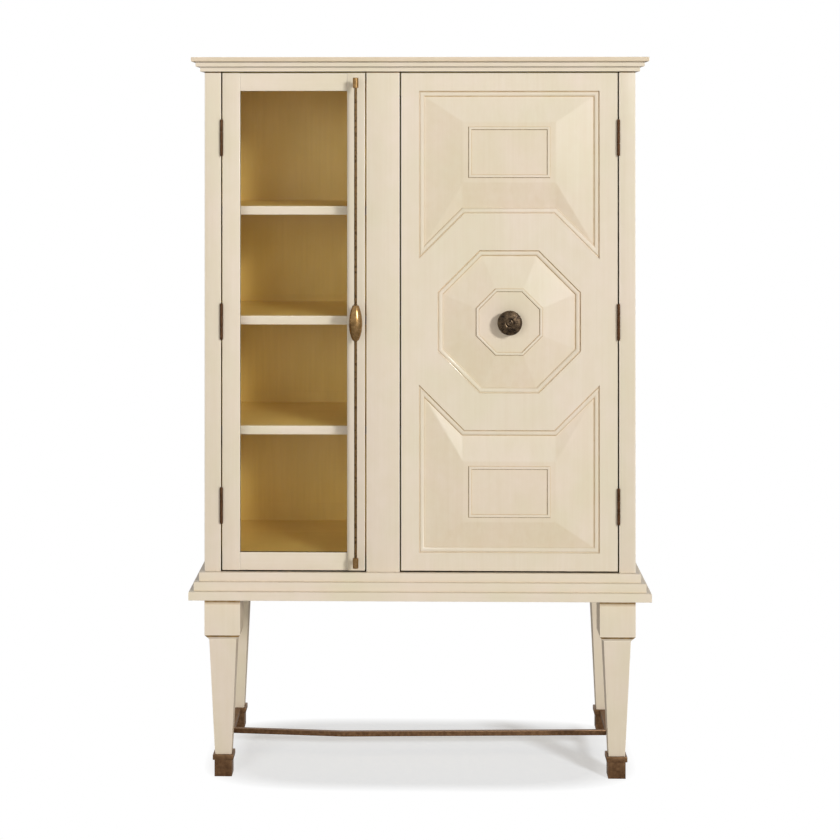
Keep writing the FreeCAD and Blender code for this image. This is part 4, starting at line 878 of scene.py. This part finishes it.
def floor():
    """White studio floor. The camera sees it as white, and under the cabinet as pale grey: a painted shadow,
    darker still where real shade falls.
    """
    mesh = bmesh.new()
    bmesh.ops.create_grid(mesh, x_segments=8, y_segments=8, size=30.0)
    data = bpy.data.meshes.new("studio_floor")
    mesh.to_mesh(data)
    mesh.free()
    ground = bpy.data.objects.new("studio_floor", data)
    bpy.context.scene.collection.objects.link(ground)
    made = bpy.data.materials.new("studio_white")
    made.use_nodes = True
    tree = made.node_tree
    tree.nodes.clear()
    bounce = add(tree, "ShaderNodeBsdfDiffuse", {"Color": srgb("#e4e4e4")})
    bright = add(tree, "ShaderNodeEmission", {"Color": (1.0, 0.97, 0.93, 1.0), "Strength": 0.13})
    plain = add(tree, "ShaderNodeAddShader", {0: bounce.outputs[0], 1: bright.outputs[0]})
    grey = add(tree, "ShaderNodeBsdfDiffuse", {"Color": (0.83, 0.89, 0.96, 1.0)})
    lift = add(tree, "ShaderNodeEmission", {"Color": (1.0, 1.0, 1.0, 1.0), "Strength": 0.4})
    shade = add(tree, "ShaderNodeAddShader", {0: grey.outputs[0], 1: lift.outputs[0]})
    white = add(tree, "ShaderNodeEmission", {"Color": (1.0, 1.0, 1.0, 1.0), "Strength": 1.0})
    # Painted shadow: the patch that may look grey is a rounded oblong, and fades out towards its edge
    half_wide, half_deep = 0.565, 0.3
    place = add(tree, "ShaderNodeTexCoord").outputs["Object"]
    scaled = add(tree, "ShaderNodeMapping",
                 {"Vector": place, "Scale": (1 / half_wide, 1 / half_deep, 1.0)})
    parts = add(tree, "ShaderNodeSeparateXYZ", {"Vector": scaled.outputs[0]}).outputs
    far = []
    for axis in ("X", "Y"):
        square = add(tree, "ShaderNodeMath", {0: parts[axis], 1: parts[axis]}, operation="MULTIPLY")
        far.append(add(tree, "ShaderNodeMath", {0: square.outputs[0], 1: 2.0}, operation="POWER"))
    reach = add(tree, "ShaderNodeMath", {0: far[0].outputs[0], 1: far[1].outputs[0]}, operation="ADD")
    share = add(tree, "ShaderNodeMapRange", {"Value": reach.outputs[0], "From Min": 0.4, "From Max": 1.0})
    seen = add(tree, "ShaderNodeMixShader",
               {0: share.outputs["Result"], 1: shade.outputs[0], 2: white.outputs[0]})
    eye = add(tree, "ShaderNodeLightPath").outputs["Is Camera Ray"]
    both = add(tree, "ShaderNodeMixShader", {0: eye, 1: plain.outputs[0], 2: seen.outputs[0]})
    add(tree, "ShaderNodeOutputMaterial", {"Surface": both.outputs[0]})
    data.materials.append(made)


def world():
    """Even studio light from all around, seen as plain white by the eye, in metal and through glass."""
    made = bpy.data.worlds.new("studio")
    bpy.context.scene.world = made
    made.use_nodes = True
    tree = made.node_tree
    tree.nodes.clear()
    soft = add(tree, "ShaderNodeBackground", {"Color": (1.0, 0.84, 0.66, 1.0), "Strength": 0.09})
    white = add(tree, "ShaderNodeBackground", {"Color": (1.0, 1.0, 1.0, 1.0), "Strength": 1.0})
    path = add(tree, "ShaderNodeLightPath").outputs
    straight = add(tree, "ShaderNodeMath", {0: path["Is Camera Ray"], 1: path["Is Transmission Ray"]},
                   operation="MAXIMUM")
    mirrored = add(tree, "ShaderNodeMath", {0: straight.outputs[0], 1: path["Is Glossy Ray"]},
                   operation="MAXIMUM")
    both = add(tree, "ShaderNodeMixShader", {0: mirrored.outputs[0], 1: soft.outputs[0], 2: white.outputs[0]})
    add(tree, "ShaderNodeOutputWorld", {"Surface": both.outputs[0]})


def lamp(name, place, target, width, height, power):
    """Rectangular soft lamp that faces a point."""
    light = bpy.data.lights.new(name, "AREA")
    light.shape = "RECTANGLE"
    light.size = width
    light.size_y = height
    light.energy = power
    made = bpy.data.objects.new(name, light)
    bpy.context.scene.collection.objects.link(made)
    made.location = place
    made.rotation_euler = (Vector(target) - Vector(place)).to_track_quat("-Z", "Y").to_euler()
    return made


def camera():
    """Camera at the photograph's place, with a small pitch, a turn of one degree and a shifted lens."""
    lens = bpy.data.cameras.new("photo_camera")
    made = bpy.data.objects.new("photo_camera", lens)
    bpy.context.scene.collection.objects.link(made)
    # Focal length and the point on the lens axis, in pixels of a square picture
    size, focal, across, down = 840, 1893.5, 386.65, 129.79
    lens.sensor_width = 36.0
    lens.lens = focal / size * lens.sensor_width
    lens.shift_x = (size / 2 - across) / size
    lens.shift_y = (down - size / 2) / size
    lens.clip_end = 200.0
    made.location = (0.0079, -5.0319, 1.6319)
    made.rotation_euler = (math.radians(90.241), 0.0, math.radians(1.091))
    bpy.context.scene.camera = made


floor()
world()
bpy.context.scene.view_settings.view_transform = "Standard"
lamp("key_softbox", (10.0, -15.6, 6.8), (0.0, -0.2, 0.95), 2.8, 2.8, 2210.0)
lamp("front_softbox", (-2.4, -6.2, 2.4), (-0.2, 0.0, 0.7), 2.6, 2.2, 98.0).visible_glossy = False
lamp("satin_softbox", (2.35, -7.4, 1.95), (0.2, -0.2, 1.15), 1.2, 1.0, 14.0)
camera()
